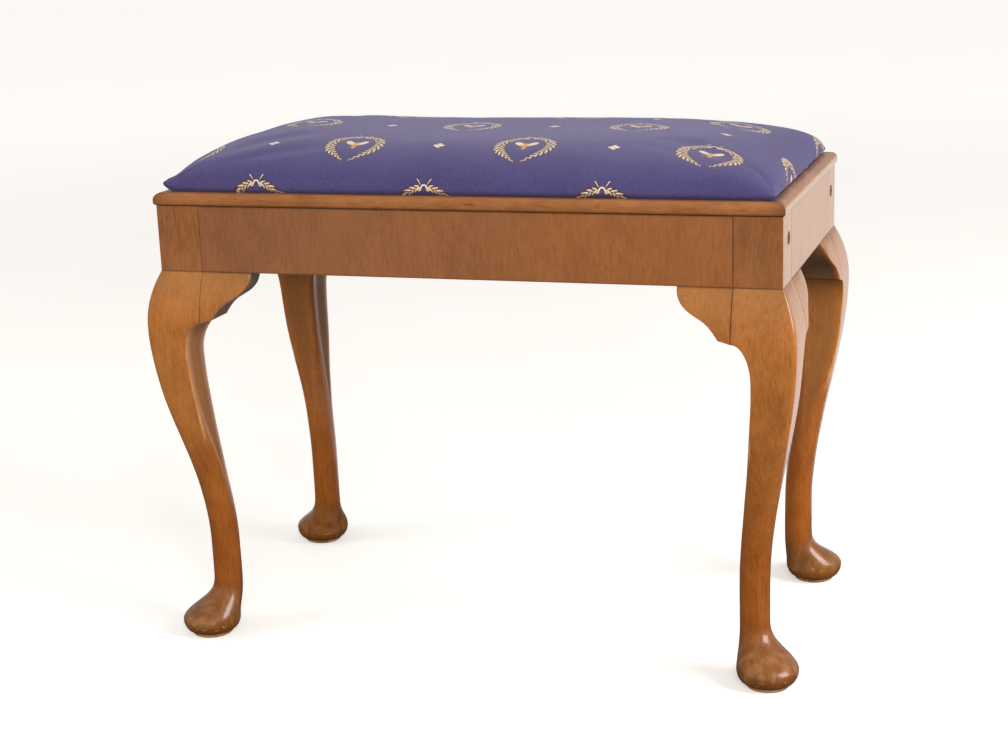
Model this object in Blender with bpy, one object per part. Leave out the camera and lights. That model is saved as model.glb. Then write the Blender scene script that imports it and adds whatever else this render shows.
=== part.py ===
"""Dressing stool with cabriole legs, a veneered frieze and a drop-in upholstered seat.

Metres, +Z up. X runs along the length and -Y is the front. The origin lies on the floor
under the middle of the stool.
"""

import math

import bmesh
import bpy
from mathutils import Vector

# Overall frame
FRAME_LENGTH = 0.572          # over the outer faces of the end rails
FRAME_DEPTH = 0.300           # over the outer faces of the long rails
RAIL_TOP = 0.420              # height of the ledge that the seat rests on
RAIL_HEIGHT = 0.060
RAIL_THICKNESS = 0.022        # core and veneer together
VENEER_THICKNESS = 0.001
POST_WIDTH = 0.0415           # square top of each leg

# Clearances
GLUE_LINE = 0.0003            # between pieces that touch
SEAT_CLEARANCE = 0.002        # between the seat and the moulding around it

# Cabriole leg, measured from the faces of the rails and from the floor
KNEE_PROJECTION = 0.0135      # how far the knee stands out from the rail face
KNEE_DROP = 0.050             # knee below the rail
KNEE_CORNER = 0.0045          # rounding of the outer arris at the knee
SIDE_CORNER = 0.0015          # rounding of the side arrises below the ears
INNER_CORNER = 0.005          # rounding of the inner corner there
POST_EDGE = 0.0005            # sharp edges of the post, just eased
COVE_DROP = 0.032             # hollow behind the knee, below the ears
HOLLOW_INSET = 0.0255         # inner side of the leg at that hollow
ARRIS_HEIGHT = 0.250          # the arrises stay crisp down to here
ROUND_HEIGHT = 0.140          # the leg is round below this
ANKLE_HEIGHT = 0.088
ANKLE_RADIUS = 0.0133
ANKLE_INSET = 0.0287          # ankle centre from both rail faces
FLARE_HEIGHT = 0.062          # where the ankle starts to spread into the foot
FLARE_HOLLOW = 2.5            # higher keeps the ankle slim for longer
PAD_HEIGHT = 0.0155           # widest part of the pad foot
PAD_RADIUS = 0.0273
PAD_SOLE_RADIUS = 0.0195      # where the pad meets its shoe
FOOT_INSET = 0.015            # foot centre from both rail faces
SHOE_HEIGHT = 0.0035
SHOE_RADIUS = 0.0188

# Ears beside the knees: a lobe at the tip, a hollow, then a cusp near the leg
EAR_LENGTH = 0.048
EAR_DROP = 0.0457             # depth at the joint with the leg
EAR_LOBE_LENGTH = 0.021       # tip to the end of the lobe
EAR_LOBE_DROP = 0.026
EAR_CUSP_LENGTH = 0.0112      # leg to the cusp
EAR_CUSP_DROP = 0.0428
EAR_LOBE_TIP_FALL = 0.54      # curve handles, as shares of the lobe and of the hollow
EAR_LOBE_END_RUN = 0.48
EAR_LOBE_END_FALL = 0.77
EAR_HOLLOW_RUN = 0.50
EAR_HOLLOW_FALL = 0.27
EAR_CUSP_RUN = 0.24
EAR_CUSP_FALL = 0.35

# Mortise and tenon joints of the rails
TENON_THICKNESS = 0.009
TENON_HEIGHT = 0.040
TENON_INSET = 0.0125          # middle of the tenon from the rail face
LONG_TENON_LENGTH = 0.020
END_TENON_LENGTH = 0.030
PEG_RADIUS = 0.006            # pegs that pin the end rails' tenons
PEG_LENGTH = 0.026
PEG_FROM_SHOULDER = 0.0145
PEG_DROP = 0.022              # below the rail top
PEG_SUNK = 0.0002             # below the end face

# Mitred moulding on top of the rails
MOULDING_WIDTH = 0.0125
MOULDING_HEIGHT = 0.0115
MOULDING_OVERHANG = 0.002
MOULDING_TOP_ROUND = 0.0065
MOULDING_FOOT_ROUND = 0.003

# Blocks that brace the inside corners, and their screws
BLOCK_REACH = 0.040           # along each rail, past the post
BLOCK_HEIGHT = 0.034
BLOCK_DROP = 0.012            # below the rail top
BLOCK_HEEL = 0.006            # blunt end of the block on the rail
SCREW_FROM_POST = 0.012
SCREW_RADIUS = 0.0021
SCREW_HEAD_RADIUS = 0.0042
SCREW_HEAD_HEIGHT = 0.0026
SCREW_DEPTH = 0.012           # thread in the rail
SCREW_GRIP = 0.009            # wood of the block under the head
SCREW_TAPER = 0.0042          # length of the point
SCREW_TIP_RADIUS = 0.0005

# Drop-in seat
COVER_THICKNESS = 0.0012
HEM_WIDTH = 0.020             # cover turned under the seat frame
COVER_SWELL = 0.0045          # the stuffed edge swells over the moulding
SWELL_RISE = 0.0052           # above the top of the moulding
CROWN_HEIGHT = 0.038          # above the swelling of the edge
CROWN_FULLNESS_LENGTH = 6.0   # higher is flatter in the middle and steeper at the ends
CROWN_FULLNESS_DEPTH = 3.4
CROWN_EDGE = 0.5
CORNER_PULL = 0.001           # the corners are drawn in by this much
CORNER_SPREAD = 0.005         # how far along the edge that drawing in reaches
SEAT_RAIL_WIDTH = 0.045
SEAT_RAIL_THICKNESS = 0.016
SEAT_CORNER_CUT = 0.015
WEBBING_WIDTH = 0.050
WEBBING_THICKNESS = 0.0016
WEBBING_TACKED = 0.032        # length of a strap on the seat frame
WEBBING_ALONG = 2
WEBBING_ACROSS = 4
HESSIAN_THICKNESS = 0.001
HESSIAN_MARGIN = 0.016        # hessian inside the edge of the seat frame
HESSIAN_CORNER_CUT = 0.022

# Fineness of the curved meshes
SHARP_ANGLE = 32              # degrees; steeper edges stay crisp
CORNER_POINTS = 5             # round each corner of a leg section
CIRCLE_POINTS = 16
SOLE_RINGS = 4
PAD_RINGS = 9
SHANK_RINGS = 12
COVE_RINGS = 5
KNEE_RINGS = 7
LOBE_POINTS = 8
HOLLOW_POINTS = 6
MOULDING_FOOT_POINTS = 4
MOULDING_NOSE_POINTS = 6
CROWN_COLUMNS = 20
CROWN_ROWS = 12

# Derived levels and half sizes
RAIL_BOTTOM = RAIL_TOP - RAIL_HEIGHT
KNEE_HEIGHT = RAIL_BOTTOM - KNEE_DROP
EAR_BOTTOM = RAIL_BOTTOM - EAR_DROP
HOLLOW_HEIGHT = EAR_BOTTOM - COVE_DROP
HALF_LENGTH = FRAME_LENGTH / 2
HALF_DEPTH = FRAME_DEPTH / 2
MOULDING_TOP = RAIL_TOP + GLUE_LINE + MOULDING_HEIGHT
WELL_HALF_LENGTH = HALF_LENGTH + MOULDING_OVERHANG - MOULDING_WIDTH
WELL_HALF_DEPTH = HALF_DEPTH + MOULDING_OVERHANG - MOULDING_WIDTH

CORNERS = {
    "front_left": (-1, -1),
    "front_right": (1, -1),
    "back_right": (1, 1),
    "back_left": (-1, 1),
}
SIDES = {"front": (0, -1), "back": (0, 1), "left": (-1, 0), "right": (1, 0)}


def mix(low, high, share):
    return low + (high - low) * share


def smoothstep(share):
    share = min(max(share, 0.0), 1.0)
    return share * share * (3 - 2 * share)


def quarter_ellipse(share):
    """1 at share 0, falling to 0 at share 1 like a quarter of an ellipse."""
    return math.sqrt(max(0.0, 1 - share * share))


def steps(count, first=0.0, last=1.0):
    return [mix(first, last, index / count) for index in range(count + 1)]


def material(name, colour, roughness, metallic=0.0):
    finish = bpy.data.materials.new(name)
    finish.use_nodes = True
    shader = finish.node_tree.nodes["Principled BSDF"]
    shader.inputs["Base Color"].default_value = (*colour, 1.0)
    shader.inputs["Roughness"].default_value = roughness
    shader.inputs["Metallic"].default_value = metallic
    finish.diffuse_color = (*colour, 1.0)
    return finish


def add_object(name, mesh_data, finish, parent=None):
    mesh = bpy.data.meshes.new(name)
    mesh_data.to_mesh(mesh)
    mesh_data.free()
    mesh.shade_smooth()
    mesh.set_sharp_from_angle(angle=math.radians(SHARP_ANGLE))
    mesh.materials.append(finish)
    piece = bpy.data.objects.new(name, mesh)
    piece.parent = parent
    bpy.context.scene.collection.objects.link(piece)
    return piece


def loft(rings):
    """A closed solid through rings of equal point count, capped at both ends."""
    solid = bmesh.new()
    rows = [[solid.verts.new(point) for point in ring] for ring in rings]
    count = len(rows[0])
    for lower, upper in zip(rows, rows[1:]):
        for index in range(count):
            after = (index + 1) % count
            solid.faces.new((lower[index], lower[after], upper[after], upper[index]))
    solid.faces.new(rows[0])
    solid.faces.new(rows[-1])
    bmesh.ops.recalc_face_normals(solid, faces=solid.faces)
    return solid


def rectangle(x, low, high):
    """Ring in the plane across X, between two (y, z) corners."""
    return [(x, low[0], low[1]), (x, high[0], low[1]), (x, high[0], high[1]), (x, low[0], high[1])]


def box(low, high):
    return loft([rectangle(x, low[1:], high[1:]) for x in (low[0], high[0])])


def prism(outline, bottom, top):
    return loft([[(x, y, z) for x, y in outline] for z in (bottom, top)])


def turned(start, axis, profile):
    """A turned solid: profile holds (distance along the axis, radius)."""
    axis = Vector(axis).normalized()
    across = axis.orthogonal().normalized()
    third = axis.cross(across)
    rings = []
    for distance, radius in profile:
        centre = Vector(start) + axis * distance
        ring = []
        for index in range(CIRCLE_POINTS):
            angle = math.tau * index / CIRCLE_POINTS
            ring.append(centre + (across * math.cos(angle) + third * math.sin(angle)) * radius)
        rings.append(ring)
    return loft(rings)


def cut(target, mesh_data, label):
    """Takes a hidden cutter out of a piece."""
    cutter = add_object(f"{target.name}_{label}_cutter", mesh_data, target.data.materials[0])
    cutter.hide_render = True
    cutter.display_type = "WIRE"
    boolean = target.modifiers.new(label, "BOOLEAN")
    boolean.operation = "DIFFERENCE"
    boolean.solver = "EXACT"
    boolean.object = cutter


def turn_to_side(point, side):
    """A point drawn for the front of the stool, turned to one of its four sides."""
    across, out = SIDES[side]
    x, y, z = point
    if across:
        return (-across * y, across * x, z)
    return (-out * x, -out * y, z)


def side_half(side):
    """Half the length of a side of the frame, and its distance from the middle."""
    if SIDES[side][0]:
        return HALF_DEPTH, HALF_LENGTH
    return HALF_LENGTH, HALF_DEPTH


def side_tenon(side):
    return END_TENON_LENGTH if SIDES[side][0] else LONG_TENON_LENGTH


for old in list(bpy.data.objects):
    bpy.data.objects.remove(old, do_unlink=True)

LEG_WOOD = material("leg_walnut", (0.37, 0.16, 0.055), 0.34)
EAR_WOOD = material("ear_walnut", (0.36, 0.165, 0.06), 0.36)
RAIL_WOOD = material("rail_beech", (0.46, 0.30, 0.17), 0.62)
VENEER_WOOD = material("frieze_veneer", (0.25, 0.105, 0.05), 0.40)
MOULDING_WOOD = material("moulding_walnut", (0.30, 0.125, 0.05), 0.38)
PEG_WOOD = material("dark_peg", (0.06, 0.025, 0.015), 0.55)
BLOCK_WOOD = material("block_pine", (0.58, 0.41, 0.24), 0.70)
SCREW_STEEL = material("screw_steel", (0.46, 0.44, 0.42), 0.42, 1.0)
SEAT_WOOD = material("seat_beech", (0.52, 0.36, 0.21), 0.66)
WEBBING_JUTE = material("webbing_jute", (0.42, 0.32, 0.19), 0.90)
HESSIAN_JUTE = material("hessian_jute", (0.36, 0.26, 0.14), 0.95)
STUFFING_FIBRE = material("stuffing_fibre", (0.60, 0.54, 0.44), 0.95)
COVER_CLOTH = material("cover_damask", (0.105, 0.085, 0.24), 0.72)

frame_group = bpy.data.objects.new("frame", None)
bpy.context.scene.collection.objects.link(frame_group)


# Cabriole legs: post, knee, shank, ankle and turned pad foot in one piece of wood

def knee_curve(height):
    """Outer side of the leg and of the ears above the knee."""
    return KNEE_PROJECTION * (1 - ((height - KNEE_HEIGHT) / KNEE_DROP) ** 2)


def foot_spread(height):
    return smoothstep((FLARE_HEIGHT - height) / (FLARE_HEIGHT - PAD_HEIGHT)) ** FLARE_HOLLOW


def foot_radius(height):
    if height >= PAD_HEIGHT:
        return mix(ANKLE_RADIUS, PAD_RADIUS, foot_spread(height))
    under = (PAD_HEIGHT - height) / (PAD_HEIGHT - SHOE_HEIGHT)
    return mix(PAD_SOLE_RADIUS, PAD_RADIUS, quarter_ellipse(under))


def foot_inset(height):
    return mix(ANKLE_INSET, FOOT_INSET, foot_spread(height))


def leg_outer(height):
    """How far the outer sides stand out from the rail faces."""
    if height >= RAIL_BOTTOM:
        return 0.0
    if height >= KNEE_HEIGHT:
        return knee_curve(height)
    ankle = ANKLE_RADIUS - ANKLE_INSET
    rise = (height - ANKLE_HEIGHT) / (KNEE_HEIGHT - ANKLE_HEIGHT)
    return mix(ankle, KNEE_PROJECTION, smoothstep(rise))


def leg_inner(height):
    """How far the inner sides lie behind the rail faces."""
    if height >= EAR_BOTTOM:
        return POST_WIDTH
    if height >= HOLLOW_HEIGHT:
        return mix(POST_WIDTH, HOLLOW_INSET, quarter_ellipse((height - HOLLOW_HEIGHT) / COVE_DROP))
    ankle = ANKLE_RADIUS + ANKLE_INSET
    rise = (height - ANKLE_HEIGHT) / (HOLLOW_HEIGHT - ANKLE_HEIGHT)
    return mix(ankle, HOLLOW_INSET, smoothstep(rise))


def corner_radius(height, half, crisp):
    """Rounding of a corner: crisp above, then growing until the shank is round."""
    fall = (ARRIS_HEIGHT - height) / (ARRIS_HEIGHT - ROUND_HEIGHT)
    return min(mix(crisp, half, smoothstep(fall)), half)


def leg_ring(height):
    """Section of the leg as a square whose corners are rounded one by one."""
    outer, inner = leg_outer(height), leg_inner(height)
    half = (outer + inner) / 2
    middle = (inner - outer) / 2
    knee = leg_outer(max(height, KNEE_HEIGHT)) / KNEE_PROJECTION
    arris = corner_radius(height, half, mix(POST_EDGE, KNEE_CORNER, knee))
    below_ears = smoothstep((EAR_BOTTOM - height) / COVE_DROP)
    side = corner_radius(height, half, mix(POST_EDGE, SIDE_CORNER, below_ears))
    back = corner_radius(height, half, mix(POST_EDGE, INNER_CORNER, below_ears))
    ring = []
    for quarter, radius in enumerate((back, side, arris, side)):
        for index in range(CORNER_POINTS):
            angle = math.pi / 2 * (quarter + (index + 0.5) / CORNER_POINTS)
            corner = math.pi / 2 * (quarter + 0.5)
            reach = (half - radius) * math.sqrt(2)
            x = middle + reach * math.cos(corner) + radius * math.cos(angle)
            y = middle + reach * math.sin(corner) + radius * math.sin(angle)
            ring.append((x, y, height))
    return ring


def foot_ring(height, radius):
    centre = foot_inset(height)
    ring = []
    for index in range(4 * CORNER_POINTS):
        angle = math.tau * (index + 0.5) / (4 * CORNER_POINTS)
        ring.append((centre + radius * math.cos(angle), centre + radius * math.sin(angle), height))
    return ring


def leg_rings():
    rings = [foot_ring(0.0, SHOE_RADIUS), foot_ring(SHOE_HEIGHT, SHOE_RADIUS)]
    for turn in steps(SOLE_RINGS, math.pi / 2, 0.0):
        height = mix(PAD_HEIGHT, SHOE_HEIGHT, math.sin(turn))
        rings.append(foot_ring(height, foot_radius(height)))
    for height in steps(PAD_RINGS, PAD_HEIGHT, FLARE_HEIGHT)[1:]:
        rings.append(foot_ring(height, foot_radius(height)))
    for height in steps(SHANK_RINGS, ANKLE_HEIGHT, HOLLOW_HEIGHT)[:-1]:
        rings.append(leg_ring(height))
    for turn in steps(COVE_RINGS, 0.0, math.pi / 2):
        rings.append(leg_ring(mix(HOLLOW_HEIGHT, EAR_BOTTOM, math.sin(turn))))
    ear_turn = math.asin((EAR_BOTTOM - KNEE_HEIGHT) / KNEE_DROP)
    for turn in steps(KNEE_RINGS, ear_turn, math.pi / 2)[1:]:
        rings.append(leg_ring(KNEE_HEIGHT + KNEE_DROP * math.sin(turn)))
    rings.append(leg_ring(RAIL_TOP))
    return rings


def corner_point(corner, x, y, z):
    """A point given inwards from one outer corner of the frame."""
    across, out = CORNERS[corner]
    return (across * (HALF_LENGTH - x), out * (HALF_DEPTH - y), z)


def corner_box(corner, low, high):
    ends = [corner_point(corner, *low), corner_point(corner, *high)]
    return box([min(pair) for pair in zip(*ends)], [max(pair) for pair in zip(*ends)])


def mortise(corner, along_x):
    """Cutter for a rail's tenon, open on the inner side of the post."""
    length = (LONG_TENON_LENGTH if along_x else END_TENON_LENGTH) + GLUE_LINE
    half = TENON_THICKNESS / 2 + GLUE_LINE
    middle = RAIL_TOP - RAIL_HEIGHT / 2
    height = TENON_HEIGHT / 2 + GLUE_LINE
    low = (POST_WIDTH - length, TENON_INSET - half)
    high = (POST_WIDTH + TENON_THICKNESS, TENON_INSET + half)
    if not along_x:
        low, high = low[::-1], high[::-1]
    return corner_box(corner, (*low, middle - height), (*high, middle + height))


def peg_solid(corner, radius, start, length):
    centre = corner_point(corner, start, POST_WIDTH - PEG_FROM_SHOULDER, RAIL_TOP - PEG_DROP)
    return turned(centre, (-CORNERS[corner][0], 0, 0), [(0.0, radius), (length, radius)])


def peg_hole(corner):
    reach = PEG_LENGTH + GLUE_LINE
    return peg_solid(corner, PEG_RADIUS + GLUE_LINE, PEG_SUNK - PEG_LENGTH, reach + PEG_LENGTH)


for turn, corner in enumerate(CORNERS):
    leg = add_object(f"leg_{corner}", loft(leg_rings()), LEG_WOOD, frame_group)
    leg.location = corner_point(corner, 0, 0, 0)
    leg.rotation_euler.z = turn * math.pi / 2
    cut(leg, mortise(corner, True), "long_mortise")
    cut(leg, mortise(corner, False), "end_mortise")
    cut(leg, peg_hole(corner), "peg_hole")


# Rails: plain hardwood cores with a tenon at each end

def rail_rings(side):
    half, face = side_half(side)
    shoulder = half - POST_WIDTH - GLUE_LINE
    tip = half - POST_WIDTH + side_tenon(side)
    core_low = (-face + VENEER_THICKNESS + GLUE_LINE, RAIL_BOTTOM)
    core_high = (-face + RAIL_THICKNESS, RAIL_TOP)
    middle = RAIL_TOP - RAIL_HEIGHT / 2
    tenon_low = (-face + TENON_INSET - TENON_THICKNESS / 2, middle - TENON_HEIGHT / 2)
    tenon_high = (-face + TENON_INSET + TENON_THICKNESS / 2, middle + TENON_HEIGHT / 2)
    rings = []
    for sign in (-1, 1):
        end = [
            rectangle(sign * tip, tenon_low, tenon_high),
            rectangle(sign * shoulder, tenon_low, tenon_high),
            rectangle(sign * shoulder, core_low, core_high),
        ]
        rings += end[::-sign]
    return [[turn_to_side(point, side) for point in ring] for ring in rings]


rails = {}
for side in SIDES:
    rails[side] = add_object(f"rail_{side}", loft(rail_rings(side)), RAIL_WOOD, frame_group)
for corner, (across, out) in CORNERS.items():
    cut(rails["left" if across < 0 else "right"], peg_hole(corner), f"peg_hole_{corner}")


# Frieze: cross-grained veneer glued to the rails, flush with the posts

for side in SIDES:
    half, face = side_half(side)
    end = half - POST_WIDTH - GLUE_LINE
    low = (-face, RAIL_BOTTOM)
    high = (-face + VENEER_THICKNESS, RAIL_TOP)
    rings = [rectangle(sign * end, low, high) for sign in (-1, 1)]
    rings = [[turn_to_side(point, side) for point in ring] for ring in rings]
    add_object(f"veneer_{side}", loft(rings), VENEER_WOOD, frame_group)


# Pegs through the end rails' tenons

for corner in CORNERS:
    peg = peg_solid(corner, PEG_RADIUS, PEG_SUNK, PEG_LENGTH)
    add_object(f"tenon_peg_{corner}", peg, PEG_WOOD, frame_group)


# Ears: shaped brackets glued beside each knee, under the rails

def bezier(start, first, second, end, count):
    handles = [Vector(point) for point in (start, first, second, end)]
    points = []
    for share in steps(count):
        rest = 1 - share
        weights = (rest**3, 3 * share * rest**2, 3 * share**2 * rest, share**3)
        place = Vector((0, 0))
        for weight, handle in zip(weights, handles):
            place += weight * handle
        points.append(place)
    return points


def ear_outline():
    """Lower edge from the tip to the leg, as (distance from the leg, drop below the rail)."""
    tip = (EAR_LENGTH, 0.0)
    turn = (EAR_LENGTH - EAR_LOBE_LENGTH, EAR_LOBE_DROP)
    cusp = (EAR_CUSP_LENGTH, EAR_CUSP_DROP)
    below_tip = (EAR_LENGTH, EAR_LOBE_TIP_FALL * EAR_LOBE_DROP)
    before_turn = (EAR_LENGTH - EAR_LOBE_END_RUN * EAR_LOBE_LENGTH, EAR_LOBE_END_FALL * EAR_LOBE_DROP)
    lobe = bezier(tip, below_tip, before_turn, turn, LOBE_POINTS)
    fall = EAR_CUSP_DROP - EAR_LOBE_DROP
    run = turn[0] - EAR_CUSP_LENGTH
    after_turn = (turn[0] - EAR_HOLLOW_RUN * run, turn[1] + EAR_HOLLOW_FALL * fall)
    before_cusp = (cusp[0] + EAR_CUSP_RUN * run, cusp[1] - EAR_CUSP_FALL * fall)
    hollow = bezier(turn, after_turn, before_cusp, cusp, HOLLOW_POINTS)
    return lobe + hollow[1:] + [Vector((2 * GLUE_LINE, EAR_DROP))]


def ear_rings():
    """Rings from the rail down, in the leg's corner frame, along +X under the rail."""
    rings = []
    for reach, drop in ear_outline():
        height = RAIL_BOTTOM - GLUE_LINE - drop * (EAR_DROP - GLUE_LINE) / EAR_DROP
        front = -leg_outer(height)
        joint = POST_WIDTH + GLUE_LINE
        tip = POST_WIDTH + reach
        rings.append([(joint, front, height), (tip, front, height),
                      (tip, RAIL_THICKNESS, height), (joint, RAIL_THICKNESS, height)])
    return rings


for corner, (across, out) in CORNERS.items():
    for label, swap in (("long", False), ("end", True)):
        rings = []
        for ring in ear_rings():
            turned_ring = [(y, x, z) if swap else (x, y, z) for x, y, z in ring]
            rings.append([corner_point(corner, *point) for point in turned_ring])
        add_object(f"ear_{corner}_{label}", loft(rings), EAR_WOOD, frame_group)


# Moulding: four mitred lengths that form the rebate for the seat

def arc(centre, radius, first, last, count):
    return [
        (centre[0] + radius * math.cos(angle), centre[1] + radius * math.sin(angle))
        for angle in steps(count, math.radians(first), math.radians(last))
    ]


def moulding_section():
    """Section as (distance inwards from the outer edge, height above the rail)."""
    foot, nose = MOULDING_FOOT_ROUND, MOULDING_TOP_ROUND
    lower = arc((foot, foot), foot, 270, 180, MOULDING_FOOT_POINTS)
    upper = arc((nose, MOULDING_HEIGHT - nose), nose, 180, 90, MOULDING_NOSE_POINTS)
    return lower + upper + [(MOULDING_WIDTH, MOULDING_HEIGHT), (MOULDING_WIDTH, 0.0)]


for side in SIDES:
    half, face = side_half(side)
    rings = []
    for sign in (-1, 1):
        ring = []
        for inwards, rise in moulding_section():
            x = sign * (half + MOULDING_OVERHANG - inwards - GLUE_LINE / 2)
            y = -face - MOULDING_OVERHANG + inwards
            ring.append(turn_to_side((x, y, RAIL_TOP + GLUE_LINE + rise), side))
        rings.append(ring)
    add_object(f"moulding_{side}", loft(rings), MOULDING_WOOD, frame_group)


# Corner blocks, notched round the posts and screwed to both rails

def block_outline(corner):
    wall = RAIL_THICKNESS + GLUE_LINE
    post = POST_WIDTH + GLUE_LINE
    far = POST_WIDTH + BLOCK_REACH
    heel = wall + BLOCK_HEEL
    plan = [(post, wall), (far, wall), (far, heel), (heel, far), (wall, far), (wall, post), (post, post)]
    return [corner_point(corner, x, y, 0)[:2] for x, y in plan]


def screw_line(corner, along_x):
    """Where a screw's head sits on its block, and the direction that it runs in."""
    level = RAIL_TOP - BLOCK_DROP - BLOCK_HEIGHT / 2
    across, out = CORNERS[corner]
    place = (POST_WIDTH + SCREW_FROM_POST, RAIL_THICKNESS + GLUE_LINE + SCREW_GRIP)
    if along_x:
        return corner_point(corner, *place, level), (0, out, 0)
    return corner_point(corner, *place[::-1], level), (across, 0, 0)


def screw_hole(corner, along_x):
    start, axis = screw_line(corner, along_x)
    radius = SCREW_RADIUS + GLUE_LINE
    bottom = SCREW_GRIP + SCREW_DEPTH + GLUE_LINE
    return turned(start, axis, [(-SCREW_HEAD_HEIGHT, radius), (bottom, radius)])


def screw_pocket(corner, along_x):
    """Counterbore that lets the head in square to the rail."""
    start, axis = screw_line(corner, along_x)
    back = Vector(start) - Vector(axis) * BLOCK_REACH
    radius = SCREW_HEAD_RADIUS + GLUE_LINE
    return turned(back, axis, [(0.0, radius), (BLOCK_REACH, radius)])


screw_profile = [
    (-GLUE_LINE - SCREW_HEAD_HEIGHT, SCREW_HEAD_RADIUS),
    (-GLUE_LINE, SCREW_HEAD_RADIUS),
    (-GLUE_LINE, SCREW_RADIUS),
    (SCREW_GRIP + SCREW_DEPTH - SCREW_TAPER, SCREW_RADIUS),
    (SCREW_GRIP + SCREW_DEPTH, SCREW_TIP_RADIUS),
]
for corner, (across, out) in CORNERS.items():
    top = RAIL_TOP - BLOCK_DROP
    block = add_object(f"corner_block_{corner}", prism(block_outline(corner), top - BLOCK_HEIGHT, top),
                       BLOCK_WOOD, frame_group)
    long_rail = rails["front" if out < 0 else "back"]
    end_rail = rails["left" if across < 0 else "right"]
    for label, along_x, rail in (("long", True, long_rail), ("end", False, end_rail)):
        cut(block, screw_hole(corner, along_x), f"{label}_hole")
        cut(block, screw_pocket(corner, along_x), f"{label}_pocket")
        cut(rail, screw_hole(corner, along_x), f"screw_hole_{corner}")
        start, axis = screw_line(corner, along_x)
        add_object(f"block_screw_{corner}_{label}", turned(start, axis, screw_profile), SCREW_STEEL,
                   frame_group)


# Drop-in seat: everything below lifts out together along Z

seat_group = bpy.data.objects.new("seat_lift", None)
bpy.context.scene.collection.objects.link(seat_group)

SEAT_BOTTOM = RAIL_TOP + GLUE_LINE
COVER_HALF = (WELL_HALF_LENGTH - SEAT_CLEARANCE, WELL_HALF_DEPTH - SEAT_CLEARANCE)
SEAT_FRAME_HALF = tuple(half - COVER_THICKNESS - GLUE_LINE for half in COVER_HALF)
SEAT_FRAME_BOTTOM = SEAT_BOTTOM + COVER_THICKNESS + GLUE_LINE
SEAT_FRAME_TOP = SEAT_FRAME_BOTTOM + SEAT_RAIL_THICKNESS
SWELL_HEIGHT = MOULDING_TOP + SWELL_RISE


# Seat frame: four rails half-lapped at the corners

def seat_rail(side):
    """One rail with its outer corners cut off and half its thickness left at the laps."""
    ends = SIDES[side][0]
    half, face = SEAT_FRAME_HALF[::-1] if ends else SEAT_FRAME_HALF
    inner = -face + SEAT_RAIL_WIDTH
    trim = SEAT_CORNER_CUT
    outline = [
        (-half, inner), (-half, -face + trim), (-half + trim, -face),
        (half - trim, -face), (half, -face + trim), (half, inner),
    ]
    lap = half - SEAT_RAIL_WIDTH - GLUE_LINE
    waist = (SEAT_FRAME_BOTTOM + SEAT_FRAME_TOP) / 2
    cut_low = SEAT_FRAME_BOTTOM - SEAT_RAIL_THICKNESS if ends else waist - GLUE_LINE / 2
    cut_high = waist + GLUE_LINE / 2 if ends else SEAT_FRAME_TOP + SEAT_RAIL_THICKNESS
    plan = [turn_to_side((x, y, 0), side)[:2] for x, y in outline]
    rail = add_object(f"seat_rail_{side}", prism(plan, SEAT_FRAME_BOTTOM, SEAT_FRAME_TOP), SEAT_WOOD,
                      seat_group)
    for sign, label in ((-1, "left_lap"), (1, "right_lap")):
        reach = half + SEAT_RAIL_WIDTH
        depth = (-face - SEAT_RAIL_WIDTH, inner + SEAT_RAIL_WIDTH)
        notch = [rectangle(sign * x, (depth[0], cut_low), (depth[1], cut_high)) for x in (lap, reach)]
        cut(rail, loft([[turn_to_side(point, side) for point in ring] for ring in notch]), label)


for side in SIDES:
    seat_rail(side)


# Webbing: interlaced straps tacked on top of the seat frame

def strap_places(count, half):
    gap = 2 * half / (count + 1)
    return [-half + gap * (index + 1) for index in range(count)]


def strap_rings(place, crossings, end, starts_over):
    """Rings along +X of a strap that runs over and under the straps at the crossings."""
    under = SEAT_FRAME_TOP + GLUE_LINE
    over = under + WEBBING_THICKNESS + GLUE_LINE
    half_flat = WEBBING_WIDTH / 2 + WEBBING_THICKNESS
    stations = [(-end, under)]
    for index, crossing in enumerate(crossings):
        level = over if (index % 2 == 0) == starts_over else under
        stations += [(crossing - half_flat, level), (crossing + half_flat, level)]
    stations.append((end, under))
    low, high = place - WEBBING_WIDTH / 2, place + WEBBING_WIDTH / 2
    return [rectangle(x, (low, z), (high, z + WEBBING_THICKNESS)) for x, z in stations]


inner_half = [half - SEAT_RAIL_WIDTH for half in SEAT_FRAME_HALF]
along_places = strap_places(WEBBING_ALONG, inner_half[1])
across_places = strap_places(WEBBING_ACROSS, inner_half[0])
for index, place in enumerate(along_places):
    rings = strap_rings(place, across_places, inner_half[0] + WEBBING_TACKED, index % 2 == 0)
    add_object(f"webbing_along_{index + 1}", loft(rings), WEBBING_JUTE, seat_group)
for index, place in enumerate(across_places):
    rings = strap_rings(place, along_places, inner_half[1] + WEBBING_TACKED, index % 2 == 1)
    rings = [[(y, x, z) for x, y, z in ring] for ring in rings]
    add_object(f"webbing_across_{index + 1}", loft(rings), WEBBING_JUTE, seat_group)


# Hessian over the webbing

WEBBING_TOP = SEAT_FRAME_TOP + 2 * (GLUE_LINE + WEBBING_THICKNESS)
HESSIAN_BOTTOM = WEBBING_TOP + GLUE_LINE
HESSIAN_TOP = HESSIAN_BOTTOM + HESSIAN_THICKNESS
hessian_half = [half - HESSIAN_MARGIN for half in SEAT_FRAME_HALF]
hessian_plan = []
for turn, (across, out) in enumerate(CORNERS.values()):
    x, y = across * hessian_half[0], out * hessian_half[1]
    pair = [(x, y - out * HESSIAN_CORNER_CUT), (x - across * HESSIAN_CORNER_CUT, y)]
    hessian_plan += pair if turn % 2 == 0 else pair[::-1]
hessian = prism(hessian_plan, HESSIAN_BOTTOM, HESSIAN_TOP)
add_object("seat_hessian", hessian, HESSIAN_JUTE, seat_group)


# Stuffing and cover: a crowned pad, and the cloth pulled over it and turned under the frame

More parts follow.
